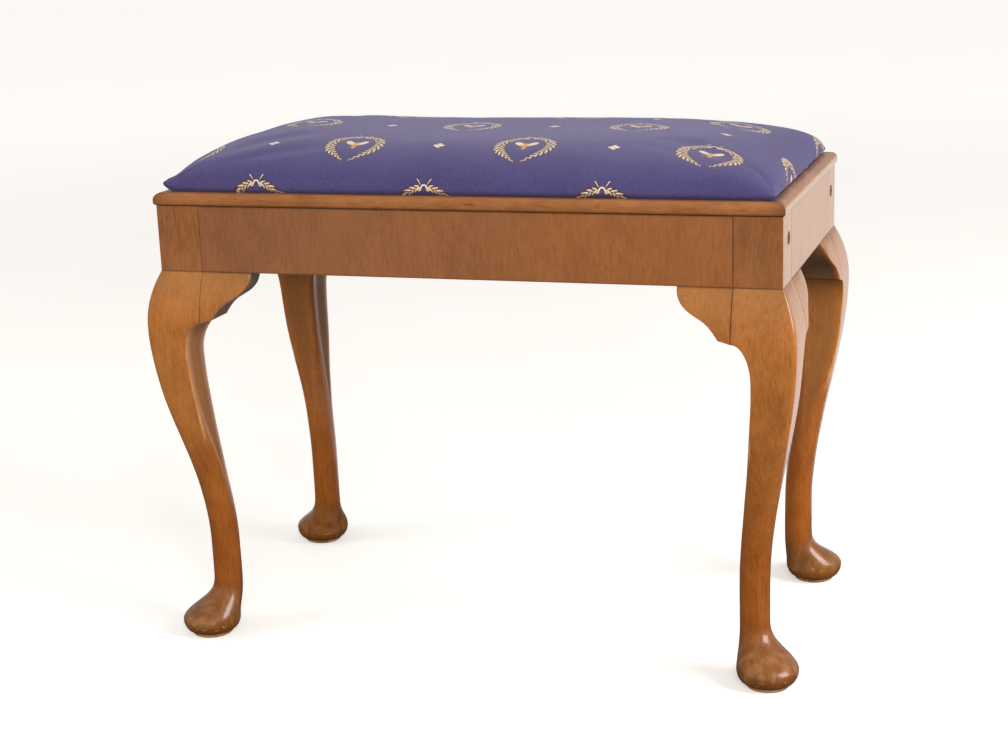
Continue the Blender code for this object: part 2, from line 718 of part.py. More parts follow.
def crown(along, across, height):
    """Rise of the pad at a place given as shares of its half sizes."""
    length_fall = max(0.0, 1 - abs(along) ** CROWN_FULLNESS_LENGTH)
    depth_fall = max(0.0, 1 - abs(across) ** CROWN_FULLNESS_DEPTH)
    return height * (length_fall * depth_fall) ** CROWN_EDGE


def spread(count):
    """Shares from -1 to 1, closer together near the edges."""
    return [math.sin(angle) for angle in steps(count, -math.pi / 2, math.pi / 2)]


def pad_plan(along, across, half):
    """A place on the pad, with the corners drawn in."""
    near_end = abs(along) ** (half[0] / CORNER_SPREAD)
    near_side = abs(across) ** (half[1] / CORNER_SPREAD)
    pull = CORNER_PULL * near_end * near_side
    return (math.copysign(abs(along) * half[0] - pull, along),
            math.copysign(abs(across) * half[1] - pull, across))


def edge_places():
    """Places round the edge of the pad, as shares, in the order of its grid."""
    columns, rows = spread(CROWN_COLUMNS), spread(CROWN_ROWS)
    front = [(along, -1.0) for along in columns]
    right = [(1.0, across) for across in rows[1:]]
    back = [(along, 1.0) for along in columns[-2::-1]]
    left = [(-1.0, across) for across in rows[-2:0:-1]]
    return front + right + back + left


def crown_surface(solid, half, base, height):
    """Adds the crowned top, folded along its ridges, and gives the points round its edge."""
    grid = {}
    columns, rows = spread(CROWN_COLUMNS), spread(CROWN_ROWS)
    for along in columns:
        for across in rows:
            x, y = pad_plan(along, across, half)
            grid[along, across] = solid.verts.new((x, y, base + crown(along, across, height)))
    for left, right in zip(columns, columns[1:]):
        for near, far in zip(rows, rows[1:]):
            a, b, c, d = grid[left, near], grid[right, near], grid[right, far], grid[left, far]
            ridge_along_a = a.co.z + c.co.z >= b.co.z + d.co.z
            solid.faces.new((a, b, c) if ridge_along_a else (a, b, d))
            solid.faces.new((a, c, d) if ridge_along_a else (b, c, d))
    return [grid[place] for place in edge_places()]


def edge_loop(solid, half, level):
    return [solid.verts.new((*pad_plan(*place, half), level)) for place in edge_places()]


def bridge(solid, loops):
    for upper, lower in zip(loops, loops[1:]):
        for index in range(len(upper)):
            after = (index + 1) % len(upper)
            solid.faces.new((upper[index], upper[after], lower[after], lower[index]))


def inset(half, distance):
    return tuple(size - distance for size in half)


swell_half = inset(COVER_HALF, -COVER_SWELL)
lining = COVER_THICKNESS
hem_half = inset(COVER_HALF, HEM_WIDTH)

cover = bmesh.new()
outside = crown_surface(cover, swell_half, SWELL_HEIGHT, CROWN_HEIGHT)
inside = crown_surface(cover, inset(swell_half, lining), SWELL_HEIGHT, CROWN_HEIGHT - lining)
bridge(cover, [
    outside,
    edge_loop(cover, COVER_HALF, MOULDING_TOP),
    edge_loop(cover, COVER_HALF, SEAT_BOTTOM),
    edge_loop(cover, hem_half, SEAT_BOTTOM),
    edge_loop(cover, hem_half, SEAT_BOTTOM + lining),
    edge_loop(cover, inset(COVER_HALF, lining), SEAT_BOTTOM + lining),
    edge_loop(cover, inset(COVER_HALF, lining), MOULDING_TOP),
    inside,
])
bmesh.ops.recalc_face_normals(cover, faces=cover.faces)
add_object("seat_cover", cover, COVER_CLOTH, seat_group)

fill_half = inset(swell_half, lining + GLUE_LINE)
STUFFING_BOTTOM = HESSIAN_TOP + GLUE_LINE
stuffing = bmesh.new()
top_edge = crown_surface(stuffing, fill_half, SWELL_HEIGHT, CROWN_HEIGHT - lining - GLUE_LINE)
bmesh.ops.contextual_create(stuffing, geom=top_edge)
bmesh.ops.recalc_face_normals(stuffing, faces=stuffing.faces)
pad = add_object("seat_stuffing", stuffing, STUFFING_FIBRE, seat_group)
below = box((-HALF_LENGTH, -HALF_DEPTH, RAIL_BOTTOM), (HALF_LENGTH, HALF_DEPTH, STUFFING_BOTTOM))
cut(pad, below, "hessian_seat")
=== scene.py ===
import math

import bmesh
import bpy
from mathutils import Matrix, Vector, noise


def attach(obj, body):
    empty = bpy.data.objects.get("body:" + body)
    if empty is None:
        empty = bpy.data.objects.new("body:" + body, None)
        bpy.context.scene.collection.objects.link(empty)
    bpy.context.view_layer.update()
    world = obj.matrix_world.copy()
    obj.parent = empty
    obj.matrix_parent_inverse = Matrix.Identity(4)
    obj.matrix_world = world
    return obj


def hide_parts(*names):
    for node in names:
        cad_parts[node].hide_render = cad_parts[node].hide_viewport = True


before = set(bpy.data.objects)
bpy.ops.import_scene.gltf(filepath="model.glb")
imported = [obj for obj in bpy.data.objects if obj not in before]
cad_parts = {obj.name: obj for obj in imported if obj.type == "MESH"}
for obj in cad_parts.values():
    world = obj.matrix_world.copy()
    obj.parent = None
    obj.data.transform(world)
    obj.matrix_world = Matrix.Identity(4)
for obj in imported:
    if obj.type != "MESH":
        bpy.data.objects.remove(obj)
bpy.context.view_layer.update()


# Cabriole legs
# Four legs, each shaped by hand from one piece of walnut: a square post, a knee that stands
# proud of the rails, a slim ankle and a pad foot on a thin shoe. Stained and polished outside,
# left dull with the marks of the saw on the two inner sides.

CORNERS = {"front_left": (-1, -1), "front_right": (1, -1), "back_right": (1, 1), "back_left": (-1, 1)}
FRAME_HALF = (0.286, 0.150)
RAIL_TOP = 0.420
RAIL_BOTTOM = 0.360
POST_WIDTH = 0.0415
POST_EDGE = 0.0006
KNEE_HEIGHT = 0.310
KNEE_DROP = 0.050
KNEE_PROJECTION = 0.0135
KNEE_ARRIS = 0.0045
SIDE_ARRIS = 0.0015
INNER_ARRIS = 0.005
EAR_BOTTOM = 0.3143
COVE_DROP = 0.032
HOLLOW_HEIGHT = 0.2823
HOLLOW_INSET = 0.0255
ARRIS_HEIGHT = 0.250
ROUND_HEIGHT = 0.140
ANKLE_HEIGHT = 0.088
ANKLE_RADIUS = 0.0133
ANKLE_INSET = 0.0287
FLARE_HEIGHT = 0.062
FLARE_HOLLOW = 2.5
PAD_HEIGHT = 0.0155
PAD_RADIUS = 0.0273
PAD_SOLE_RADIUS = 0.0191
FOOT_INSET = 0.015
SHOE_HEIGHT = 0.0035
SHOE_PROFILE = [(0.0, 0.0182), (0.0005, 0.0188), (0.0027, 0.0188), (0.0031, 0.0185), (0.0033, 0.0176)]
ARC_STEPS = 8
FLAT_POINTS = 3
HAND_WAVER = 0.0003
WAVER_SEED = 5
WAVER_SCALE = 26
WAVER_TOP = (0.345, 0.305)
WAVER_FOOT = (0.004, 0.014)
SAWN_FOOT = (0.11, 0.18)
SAWN_TOP = (0.318, 0.308)
KNEE_RUB = (0.25, 0.29)
PEG_PLACE = (0.123, 0.398)
END_FACE = 0.2855
LONG_FACE = 0.1485


def mix(low, high, share):
    return low + (high - low) * share


def ease(value, low, high):
    """Goes softly from 0 where value is low to 1 where it is high; low may be the greater."""
    share = min(max((value - low) / (high - low), 0.0), 1.0)
    return share * share * (3 - 2 * share)


def quarter_ellipse(share):
    return math.sqrt(max(0.0, 1 - share * share))


def steps(count, first=0.0, last=1.0):
    return [mix(first, last, index / count) for index in range(count + 1)]


def leg_outer(height):
    """How far the outer sides stand out from the rail faces."""
    if height >= RAIL_BOTTOM:
        return 0.0
    if height >= KNEE_HEIGHT:
        return KNEE_PROJECTION * (1 - ((height - KNEE_HEIGHT) / KNEE_DROP) ** 2)
    return mix(ANKLE_RADIUS - ANKLE_INSET, KNEE_PROJECTION, ease(height, ANKLE_HEIGHT, KNEE_HEIGHT))


def leg_inner(height):
    """How far the inner sides lie behind the rail faces."""
    if height >= EAR_BOTTOM:
        return POST_WIDTH
    if height >= HOLLOW_HEIGHT:
        return mix(POST_WIDTH, HOLLOW_INSET, quarter_ellipse((height - HOLLOW_HEIGHT) / COVE_DROP))
    return mix(ANKLE_RADIUS + ANKLE_INSET, HOLLOW_INSET, ease(height, ANKLE_HEIGHT, HOLLOW_HEIGHT))


def foot_spread(height):
    return ease(height, FLARE_HEIGHT, PAD_HEIGHT) ** FLARE_HOLLOW


def foot_radius(height):
    if height >= PAD_HEIGHT:
        return mix(ANKLE_RADIUS, PAD_RADIUS, foot_spread(height))
    drop = (PAD_HEIGHT - height) / (PAD_HEIGHT - SHOE_HEIGHT)
    return mix(PAD_SOLE_RADIUS, PAD_RADIUS, quarter_ellipse(drop))


def leg_corners(height, half):
    """Rounding of the four corners: inner, side, outer arris, side."""
    soft = ease(height, ARRIS_HEIGHT, ROUND_HEIGHT)
    knee = mix(POST_EDGE, KNEE_ARRIS, leg_outer(max(height, KNEE_HEIGHT)) / KNEE_PROJECTION)
    below_ears = ease(height, EAR_BOTTOM, HOLLOW_HEIGHT)
    side, inner = (mix(POST_EDGE, arris, below_ears) for arris in (SIDE_ARRIS, INNER_ARRIS))
    inner, side, knee = (mix(crisp, half, soft) for crisp in (inner, side, knee))
    return [inner, side, knee, side]


def leg_ring(height, middle, half, corners):
    """Section of the leg, inwards from the frame's corner; each point has its wear and saw marks."""
    sawn = ease(height, *SAWN_FOOT) * ease(height, *SAWN_TOP)
    below_ears = ease(height, EAR_BOTTOM, EAR_BOTTOM - 0.01)
    rubbing = (0.0, below_ears, mix(0.3, 0.75, ease(height, *KNEE_RUB)), below_ears)
    arcs = []
    for quarter, radius in enumerate(corners):
        radius = min(radius, 0.97 * half)
        side = math.pi / 2 * quarter
        x = middle + (half - radius) * (math.cos(side) - math.sin(side))
        y = middle + (half - radius) * (math.cos(side) + math.sin(side))
        crisp = ease(radius, 0.014, 0.004) * rubbing[quarter]
        arcs.append([])
        for index, turn in enumerate(steps(ARC_STEPS, side, side + math.pi / 2)):
            wear = crisp * math.sin(math.pi * index / ARC_STEPS)
            arcs[-1].append((x + radius * math.cos(turn), y + radius * math.sin(turn), height, wear, 0.0))
    ring = []
    for quarter, arc in enumerate(arcs):
        (x, y), (next_x, next_y) = arc[-1][:2], arcs[(quarter + 1) % 4][0][:2]
        flat_sawn = sawn if quarter in (0, 3) else 0.0
        ring += arc
        for share in steps(FLAT_POINTS + 1)[1:-1]:
            ring.append((mix(x, next_x, share), mix(y, next_y, share), height, 0.0, flat_sawn))
    return ring


def foot_ring(height, radius, wear):
    middle = mix(ANKLE_INSET, FOOT_INSET, foot_spread(height))
    ring = leg_ring(height, middle, radius, [radius] * 4)
    return [(x, y, z, wear, 0.0) for x, y, z, _, _ in ring]


def leg_rings():
    rings = [foot_ring(height, radius, 0.9 if height > 0 else 0.3) for height, radius in SHOE_PROFILE]
    heights = [mix(PAD_HEIGHT, SHOE_HEIGHT + 0.0006, math.sin(turn)) for turn in steps(10, math.pi / 2, 0.0)]
    heights += steps(22, PAD_HEIGHT, FLARE_HEIGHT)[1:]
    rings += [foot_ring(height, foot_radius(height), 0.0) for height in heights]
    heights = steps(5, FLARE_HEIGHT, ANKLE_HEIGHT)[1:-1] + steps(44, ANKLE_HEIGHT, HOLLOW_HEIGHT)[:-1]
    heights += [mix(HOLLOW_HEIGHT, EAR_BOTTOM, math.sin(turn)) for turn in steps(14, 0.0, math.pi / 2)]
    ear_turn = math.asin((EAR_BOTTOM - KNEE_HEIGHT) / KNEE_DROP)
    heights += [KNEE_HEIGHT + KNEE_DROP * math.sin(turn) for turn in steps(24, ear_turn, math.pi / 2)[1:]]
    heights += [RAIL_BOTTOM + 0.0012, RAIL_BOTTOM + 0.030, RAIL_TOP]
    for height in heights:
        outer, inner = leg_outer(height), leg_inner(height)
        half = (outer + inner) / 2
        rings.append(leg_ring(height, (inner - outer) / 2, half, leg_corners(height, half)))
    return rings


def loft(rings):
    """Points and faces of a closed skin through rings of equal count, capped at both ends."""
    count = len(rings[0])
    points = [point for ring in rings for point in ring]
    faces = []
    for low in range(0, len(points) - count, count):
        for index in range(count):
            after = (index + 1) % count
            faces.append((low + index, low + after, low + count + after, low + count + index))
    faces.append(tuple(range(count)))
    faces.append(tuple(range(len(points) - count, len(points))))
    return points, faces


def add_piece(name, points, faces, finish, marks=None, sharp=38):
    """A mesh piece at the origin with its faces outwards; marks become attributes of its points."""
    mesh = bpy.data.meshes.new(name)
    mesh.from_pydata(points, [], faces)
    for mark, values in (marks or {}).items():
        mesh.attributes.new(mark, "FLOAT", "POINT").data.foreach_set("value", values)
    shape = bmesh.new()
    shape.from_mesh(mesh)
    bmesh.ops.recalc_face_normals(shape, faces=shape.faces)
    shape.to_mesh(mesh)
    shape.free()
    mesh.shade_smooth()
    mesh.set_sharp_from_angle(angle=math.radians(sharp))
    mesh.materials.append(finish)
    piece = bpy.data.objects.new(name, mesh)
    bpy.context.scene.collection.objects.link(piece)
    return piece


def fit(piece, body, slot, *nodes):
    """Fixes a piece to its body; it stands for the CAD nodes that are named."""
    if nodes:
        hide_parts(*nodes)
    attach(piece, body)


def seen(red, green, blue):
    """A colour as it looks on a screen, 0 to 255, in linear light."""
    parts = [part / 255 for part in (red, green, blue)]
    return tuple(part / 12.92 if part < 0.04 else ((part + 0.055) / 1.055) ** 2.4 for part in parts)


class Field:
    """A value that changes over a surface; sums with it build Math nodes."""

    def __init__(self, socket):
        self.socket = socket
        self.tree = socket.id_data

    def math(self, operation, *others):
        inputs = dict(enumerate((self, *others)))
        return add(self.tree, "ShaderNodeMath", "Value", inputs, operation=operation)

    def __add__(self, other):
        return self.math("ADD", other)

    def __sub__(self, other):
        return self.math("SUBTRACT", other)

    def __rsub__(self, other):
        return self.math("MULTIPLY", -1.0) + other

    def __mul__(self, other):
        return self.math("MULTIPLY", other)

    def __truediv__(self, other):
        return self.math("DIVIDE", other)

    def __pow__(self, other):
        return self.math("POWER", other)

    def __abs__(self):
        return self.math("ABSOLUTE")

    __radd__ = __add__
    __rmul__ = __mul__

    def most(self, *others):
        """The greatest of several fields at each place."""
        field = self
        for other in others:
            field = field.math("MAXIMUM", other)
        return field

    def rise(self, low, high):
        """Eases from 0 at low to 1 at high; low may be the greater of the two."""
        limits = {"Value": self, "From Min": low, "From Max": high}
        return add(self.tree, "ShaderNodeMapRange", "Result", limits, interpolation_type="SMOOTHSTEP")


def distance(x, y):
    return (x * x + y * y) ** 0.5


def put(socket, value):
    """Links a field into a socket, or sets the socket to a plain value."""
    if isinstance(value, Field):
        socket.id_data.links.new(value.socket, socket)
    elif socket.type == "RGBA":
        socket.default_value = (*value, 1.0)
    else:
        socket.default_value = value


def add_node(tree, kind, inputs=None, **settings):
    node = tree.nodes.new(kind)
    for name, value in settings.items():
        setattr(node, name, value)
    for name, value in (inputs or {}).items():
        put(node.inputs[name], value)
    return node


def add(tree, kind, output, inputs=None, **settings):
    """A new node, as the field that one of its outputs gives."""
    return Field(add_node(tree, kind, inputs, **settings).outputs[output])


def tint(share, low, high, way="MIX"):
    """Goes from one colour to another by a share."""
    tree = next(value.tree for value in (share, low, high) if isinstance(value, Field))
    return add(tree, "ShaderNodeMix", 2, {0: share, 6: low, 7: high}, data_type="RGBA", blend_type=way)


def parts_of(place):
    return [Field(socket) for socket in add_node(place.tree, "ShaderNodeSeparateXYZ", {0: place}).outputs]


def vector_math(place, other, way):
    return add(place.tree, "ShaderNodeVectorMath", "Vector", {0: place, 1: other}, operation=way)


def cloud(place, scale, detail=3.0):
    """Soft random field, centred on 0; scale holds its waves per metre, alike or along X, Y and Z."""
    waves = vector_math(place, scale if isinstance(scale, tuple) else (scale, scale, scale), "MULTIPLY")
    inputs = {"Vector": waves, "Scale": 1.0, "Detail": detail, "Roughness": 0.55}
    return add(place.tree, "ShaderNodeTexNoise", "Fac", inputs) - 0.5


def mark_of(place, name):
    """An attribute of the piece's points, for the finish that place belongs to."""
    return add(place.tree, "ShaderNodeAttribute", "Fac", attribute_name=name)


def new_group(name, inputs, outputs, kind="ShaderNodeTree"):
    """A new node group; gives its tree, what goes in and what comes out."""
    tree = bpy.data.node_groups.new(name, kind)
    for way, sockets in (("INPUT", inputs), ("OUTPUT", outputs)):
        for label, content in sockets.items():
            tree.interface.new_socket(label, in_out=way, socket_type=f"NodeSocket{content}")
    given = {socket.name: Field(socket) for socket in tree.nodes.new("NodeGroupInput").outputs}
    return tree, given, tree.nodes.new("NodeGroupOutput").inputs


def use(group, place, **inputs):
    """Sets a group into the finish that place belongs to."""
    node = add_node(place.tree, "ShaderNodeGroup", {"Place": place, **inputs}, node_tree=group)
    return {socket.name: Field(socket) for socket in node.outputs}


def object_place(tree):
    return add(tree, "ShaderNodeTexCoord", "Object")


def new_finish(name, sockets, along="Z"):
    """A material, its shader, and Object coordinates turned so that a grain along an axis runs along Z.
    What stays the same all over it is set on its shader's own sockets."""
    finish = bpy.data.materials.new(name)
    finish.use_nodes = True
    shader = finish.node_tree.nodes["Principled BSDF"]
    for socket, value in sockets.items():
        put(shader.inputs[socket], value)
    turn = {"X": (0.0, math.pi / 2, 0.0), "Y": (math.pi / 2, 0.0, 0.0), "Z": (0.0, 0.0, 0.0)}[along]
    place = {"Vector": object_place(finish.node_tree), "Rotation": turn}
    return finish, shader, add(finish.node_tree, "ShaderNodeMapping", "Vector", place)


def surface(shader, colour, roughness, relief, depth):
    """Joins a finish to its shader; relief from 0 to 1 stands for depth in metres."""
    bump = {"Height": relief, "Strength": 1.0, "Distance": depth}
    put(shader.inputs["Base Color"], colour)
    put(shader.inputs["Roughness"], roughness)
    put(shader.inputs["Normal"], add(shader.id_data, "ShaderNodeBump", "Normal", bump))


# Walnut: slow bands, streaks along the grain, fine fibres and short dark pores.
walnut, given, made = new_group(
    "walnut figure",
    {"Place": "Vector", "Light": "Color", "Dark": "Color", "Pore": "Color"},
    {"Colour": "Color", "Roughness": "Float", "Relief": "Float"},
)
place = given["Place"]
bent = vector_math(place, cloud(place, (7, 7, 5), 2.0) * 0.03, "ADD")
bands = cloud(bent, (34, 34, 5))
streaks = cloud(bent, (420, 420, 45), 4.0)
fibres = cloud(bent, (1100, 1100, 80), 2.0)
blotches = cloud(place, (30, 30, 20), 4.0)
pores = cloud(bent, (560, 560, 120), 1.0).rise(0.13, 0.25) * cloud(bent, (45, 45, 18)).rise(-0.15, 0.2)
curls = cloud(bent, (170, 170, 70))
tone = bands * 0.45 + streaks * 0.6 + curls * 0.45 + fibres * 0.8 + blotches * 0.8 + 0.5
grained = tint(tone.rise(0.0, 1.0), given["Dark"], given["Light"])
olive = cloud(place, (14, 14, 9)).rise(0.0, 0.25)
grained = tint(olive * 0.22, grained, seen(112, 86, 46))
put(made["Colour"], tint(pores * 0.6, grained, given["Pore"]))
put(made["Roughness"], 0.36 + blotches * 0.20 + streaks * 0.08 + pores * 0.2)
put(made["Relief"], 0.6 + fibres * 0.4 + streaks * 0.2 - pores * 0.5)

# Edges rubbed through the stain to paler wood, in broken patches.
rubbed, given, made = new_group(
    "rubbed edges",
    {"Place": "Vector", "Colour": "Color", "Roughness": "Float", "Edge": "Float", "Worn": "Color"},
    {"Colour": "Color", "Roughness": "Float"},
)
edge = given["Edge"]
patches = cloud(given["Place"], 38, 4.0) + cloud(given["Place"], 420, 2.0) * 0.5
worn = (edge + patches * 0.9).rise(0.62, 1.1) * edge.rise(0.3, 0.8)
put(made["Colour"], tint(worn * 0.6, given["Colour"], given["Worn"]))
put(made["Roughness"], given["Roughness"] + worn * 0.10)

# Darkens corners and joints: dark wax and dust settled there, and painted shade where the parts meet.
inputs = {"Place": "Vector", "Colour": "Color", "Corner": "Float"}
grime_and_shade, given, made = new_group("settled wax, dust and painted shade", inputs, {"Colour": "Color"})
uneven = cloud(given["Place"], 90) * 1.2 + 0.85
dark = tint(0.85, given["Colour"], seen(44, 26, 18))
put(made["Colour"], tint(given["Corner"] * uneven, given["Colour"], dark))

# Marks that a saw leaves across a piece: even ridges with a little drift.
saw_marks, given, made = new_group("saw marks", {"Place": "Vector"}, {"Ridge": "Float"})
place = given["Place"]
drift = cloud(place, (18, 18, 40), 2.0)
faint = cloud(place, (20, 20, 30), 2.0).rise(-0.1, 0.25)
ridges = (parts_of(place)[2] * 1500 + drift * 14).math("SINE") * faint * 0.16 + cloud(place, (9, 9, 420))
put(made["Ridge"], ridges * 0.7 + 0.5)

LEG_LIGHT = seen(182, 115, 54)
LEG_DARK = seen(142, 82, 32)
FRIEZE_LIGHT = seen(154, 98, 56)
FRIEZE_DARK = seen(116, 70, 38)
SAWN_WOOD_IN_SHADE = seen(116, 83, 50)
SHADE_AND_OLD_WAX = seen(130, 98, 58)
END_FACE_GLARE = seen(190, 138, 96)
WORN_WOOD = seen(216, 170, 118)
PORE_BROWN = seen(66, 36, 20)
WOOD_GLOSS = {"Specular IOR Level": 0.35}

leg_finish, shader, place = new_finish("polished walnut leg", {"Coat Roughness": 0.09, **WOOD_GLOSS})
x, y, height = parts_of(place)
shank = use(walnut, place, Light=LEG_LIGHT, Dark=LEG_DARK, Pore=PORE_BROWN)
post = use(walnut, place, Light=FRIEZE_LIGHT, Dark=FRIEZE_DARK, Pore=PORE_BROWN)
ridge = use(saw_marks, place)["Ridge"]
sawn = mark_of(place, "sawn")
uneven = cloud(place, (16, 16, 10)) * 0.12
# Deeper gold down the shank, and cooler and darker over the foot.
golden = (height + uneven).rise(0.26, 0.09) * 0.8
shank_tone = tint(golden, shank["Colour"], seen(214, 184, 106), "MULTIPLY")
shank_tone = tint(height.rise(0.065, 0.03), shank_tone, seen(212, 226, 236), "MULTIPLY")
# A darker olive band just under the frieze: painted shade, with old wax.
shade_and_wax_band = (height + uneven * 0.3).rise(0.318, 0.358) * 0.38
shank_tone = tint(shade_and_wax_band, shank_tone, SHADE_AND_OLD_WAX)
# The post's end face is painted paler: a painted glare from the side light.
end_face = (abs(x) - END_FACE).rise(0.0, 0.0004)
squared = tint(end_face * 0.4, post["Colour"], END_FACE_GLARE)
colour = tint(height.rise(0.3594, 0.3602), shank_tone, squared)
# A pale greyish veil on top of the pad: painted sheen, a reflection of the pale surroundings.
on_pad = height.rise(0.050, 0.028) * height.rise(0.009, 0.017)
painted_sheen = cloud(place, (110, 110, 60), 5.0).rise(-0.15, 0.2) * on_pad * 0.4
on_sole = height.rise(0.026, 0.014) * height.rise(0.006, 0.011)
knocks = cloud(place, (190, 190, 260), 4.0).rise(0.07, 0.2) * on_sole
colour = tint(painted_sheen, colour, seen(168, 122, 84))
colour = tint(knocks * 0.35, colour, WORN_WOOD)
# The sawn inner sides are bare wood, painted darker as well for the shade inside the frame.
colour = tint(sawn * 0.55, colour, tint(ridge * 0.55, SAWN_WOOD_IN_SHADE, LEG_DARK))
rough = shank["Roughness"] + sawn * 0.30
touched = use(rubbed, place, Colour=colour, Roughness=rough, Edge=mark_of(place, "wear"), Worn=WORN_WOOD)
# Darker in the joint under the frieze, the groove over the shoe and round the peg: painted shade in these
# joints, with settled dirt.
under_frieze = abs(height - RAIL_BOTTOM).rise(0.0011, 0.0003) * 0.7
over_shoe = abs(height - 0.0038).rise(0.0016, 0.0004)
from_peg = distance(abs(y) - PEG_PLACE[0], height - PEG_PLACE[1])
peg_ring = abs(from_peg - 0.0060).rise(0.0009, 0.0003) * end_face * 0.7
colour = use(grime_and_shade, place, Colour=touched["Colour"], Corner=under_frieze.most(over_shoe, peg_ring))["Colour"]
relief = shank["Relief"] * (1 - sawn) + ridge * sawn - knocks * 0.7
polish = height.rise(0.3602, 0.3594).most(end_face) * 0.4 + 0.15 - end_face * 0.12
put(shader.inputs["Coat Weight"], polish * (1 - sawn * 0.9))
surface(shader, colour, touched["Roughness"], relief, 0.00025)

noise.seed_set(WAVER_SEED)
for number, (corner, (across, out)) in enumerate(CORNERS.items()):
    placed, faces = loft(leg_rings())
    points = []
    for x, y, z, _, _ in placed:
        spot = Vector((across * (FRAME_HALF[0] - x), out * (FRAME_HALF[1] - y), z))
        loose = ease(z, *WAVER_TOP) * ease(z, *WAVER_FOOT)
        drift = noise.noise_vector(spot * WAVER_SCALE + Vector((7.0 * number, 0, 0))) * HAND_WAVER * loose
        points.append(spot + Vector((drift.x, drift.y, 0)))
    marks = {"wear": [point[3] for point in placed], "sawn": [point[4] for point in placed]}
    leg = add_piece(f"walnut_leg_{corner}", points, faces, leg_finish, marks, sharp=50)
    fit(leg, "frame", "leg_walnut", f"leg_{corner}")


# Rails
# Plain beech rails tenoned into the posts. They only show from inside and below, where they
# were left from the saw and have darkened with age.

SIDES = {"front": (0, -1), "back": (0, 1), "left": (-1, 0), "right": (1, 0)}


def bare_wood(name, light, dark, along):
    """Unpolished wood straight from the saw, grey with dust."""
    finish, shader, place = new_finish(name, WOOD_GLOSS, along)
    figure = use(walnut, place, Light=light, Dark=dark, Pore=dark)
    ridge = use(saw_marks, place)["Ridge"]
    dusty = cloud(place, 14, 4.0).rise(-0.1, 0.3)
    colour = tint(dusty * 0.35, tint(ridge * 0.3, figure["Colour"], dark), seen(128, 112, 92))
    surface(shader, colour, figure["Roughness"] + 0.36, figure["Relief"] * 0.5 + ridge * 0.5, 0.0003)
    return finish


def give_finish(node, finish):
    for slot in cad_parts[node].material_slots:
        slot.material = finish


def finish_rails(rail, name, light, dark):
    """Gives four rails a finish of bare wood, with the grain along each."""
    woods = {along: bare_wood(f"{name} {along}", light, dark, along) for along in "XY"}
    for side, (end, _) in SIDES.items():
        give_finish(f"{rail}_{side}", woods["Y" if end else "X"])


finish_rails("rail", "sawn beech rail", seen(190, 152, 108), seen(150, 110, 72))


# Frieze
# Cross-grained walnut veneer glued to each rail, flush with the posts. The grain stands upright and the
# polish is uneven; painted shade greys the left, the ends are painted pale with glare, and dirt and painted
# shade darken the edges.

veneer_finish, shader, place = new_finish("frieze veneer", {"Coat Roughness": 0.2, **WOOD_GLOSS})
x, y, height = parts_of(place)
figure = use(walnut, place, Light=FRIEZE_LIGHT, Dark=FRIEZE_DARK, Pore=PORE_BROWN)
# Painted light: greyer and darker towards the left as in shade, and painted more orange towards the right
# where the light falls.
dulled = tint(0.4, figure["Colour"], seen(128, 84, 58))
lit_warm = tint(0.3, figure["Colour"], seen(152, 92, 46))
colour = tint((x + cloud(place, 6, 2.0) * 0.3).rise(-0.22, 0.22), dulled, lit_warm)
post_line = POST_WIDTH - 0.0002
beside_post = (FRAME_HALF[0] - post_line - abs(x)).rise(0.0016, 0.0004)
beside_end_post = (FRAME_HALF[1] - post_line - abs(y)).rise(0.0016, 0.0004)
on_long_side = (abs(y) - LONG_FACE).rise(0.0, 0.0003)
# The end veneers are painted paler: a painted glare from the side light.
colour = tint((1 - on_long_side) * 0.4, colour, END_FACE_GLARE)
put(shader.inputs["Coat Weight"], 0.45 - on_long_side * 0.30)
# Darker along the bottom edge, under the moulding's lip and beside the posts: painted shade in these joints,
# with settled dirt.
line = beside_post * on_long_side + beside_end_post * (1 - on_long_side) * 0.5
dirt_and_shade = height.rise(0.3615, 0.3602).most(height.rise(0.4185, 0.4198), line) * 0.6
colour = use(grime_and_shade, place, Colour=colour, Corner=dirt_and_shade)["Colour"]
surface(shader, colour, figure["Roughness"] + 0.02, figure["Relief"], 0.0002)
for side in SIDES:
    give_finish(f"veneer_{side}", veneer_finish)


# Tenon pegs
# A hardwood peg is driven through each end of both end rails to pin its tenon. The ends are
# cut off at the face and have gone almost black; their dark middle is painted shadow, as of a sunken end.

PEG_SIZES = {"Radius": 0.0057, "Length": 0.0265, "Chamfer": 0.0004}
PEG_PROUD = 0.0003
PEG_HEART = (0.1215, 0.3965)
MERGE = 0.00001


def geometry_tree(name, sizes):
    """A Geometry Nodes tree that sets one shape on every point; sizes are its named inputs."""
    inputs = {"Places": "Geometry", **dict.fromkeys(sizes, "Float"), "Finish": "Material"}
    return new_group(name, inputs, {"Pieces": "Geometry"}, "GeometryNodeTree")


def add_vector(tree, x, y, z):
    return add(tree, "ShaderNodeCombineXYZ", "Vector", {"X": x, "Y": y, "Z": z})


def raised(shape, level):
    inputs = {"Geometry": shape, "Translation": add_vector(shape.tree, 0.0, 0.0, level)}
    return add(shape.tree, "GeometryNodeTransform", "Geometry", inputs)


def turned(low, high, depth, level, corners):
    """A round piece from a level up, with its radius below and above."""
    size = {"Vertices": corners, "Radius Bottom": low, "Radius Top": high, "Depth": depth}
    return raised(add(low.tree, "GeometryNodeMeshCone", "Mesh", size), level)


def joined(*shapes):
    node = shapes[0].tree.nodes.new("GeometryNodeJoinGeometry")
    for shape in shapes:
        put(node.inputs["Geometry"], shape)
    return Field(node.outputs["Geometry"])


def merged(*shapes):
    inputs = {"Geometry": joined(*shapes), "Distance": MERGE}
    return add(shapes[0].tree, "GeometryNodeMergeByDistance", "Geometry", inputs)


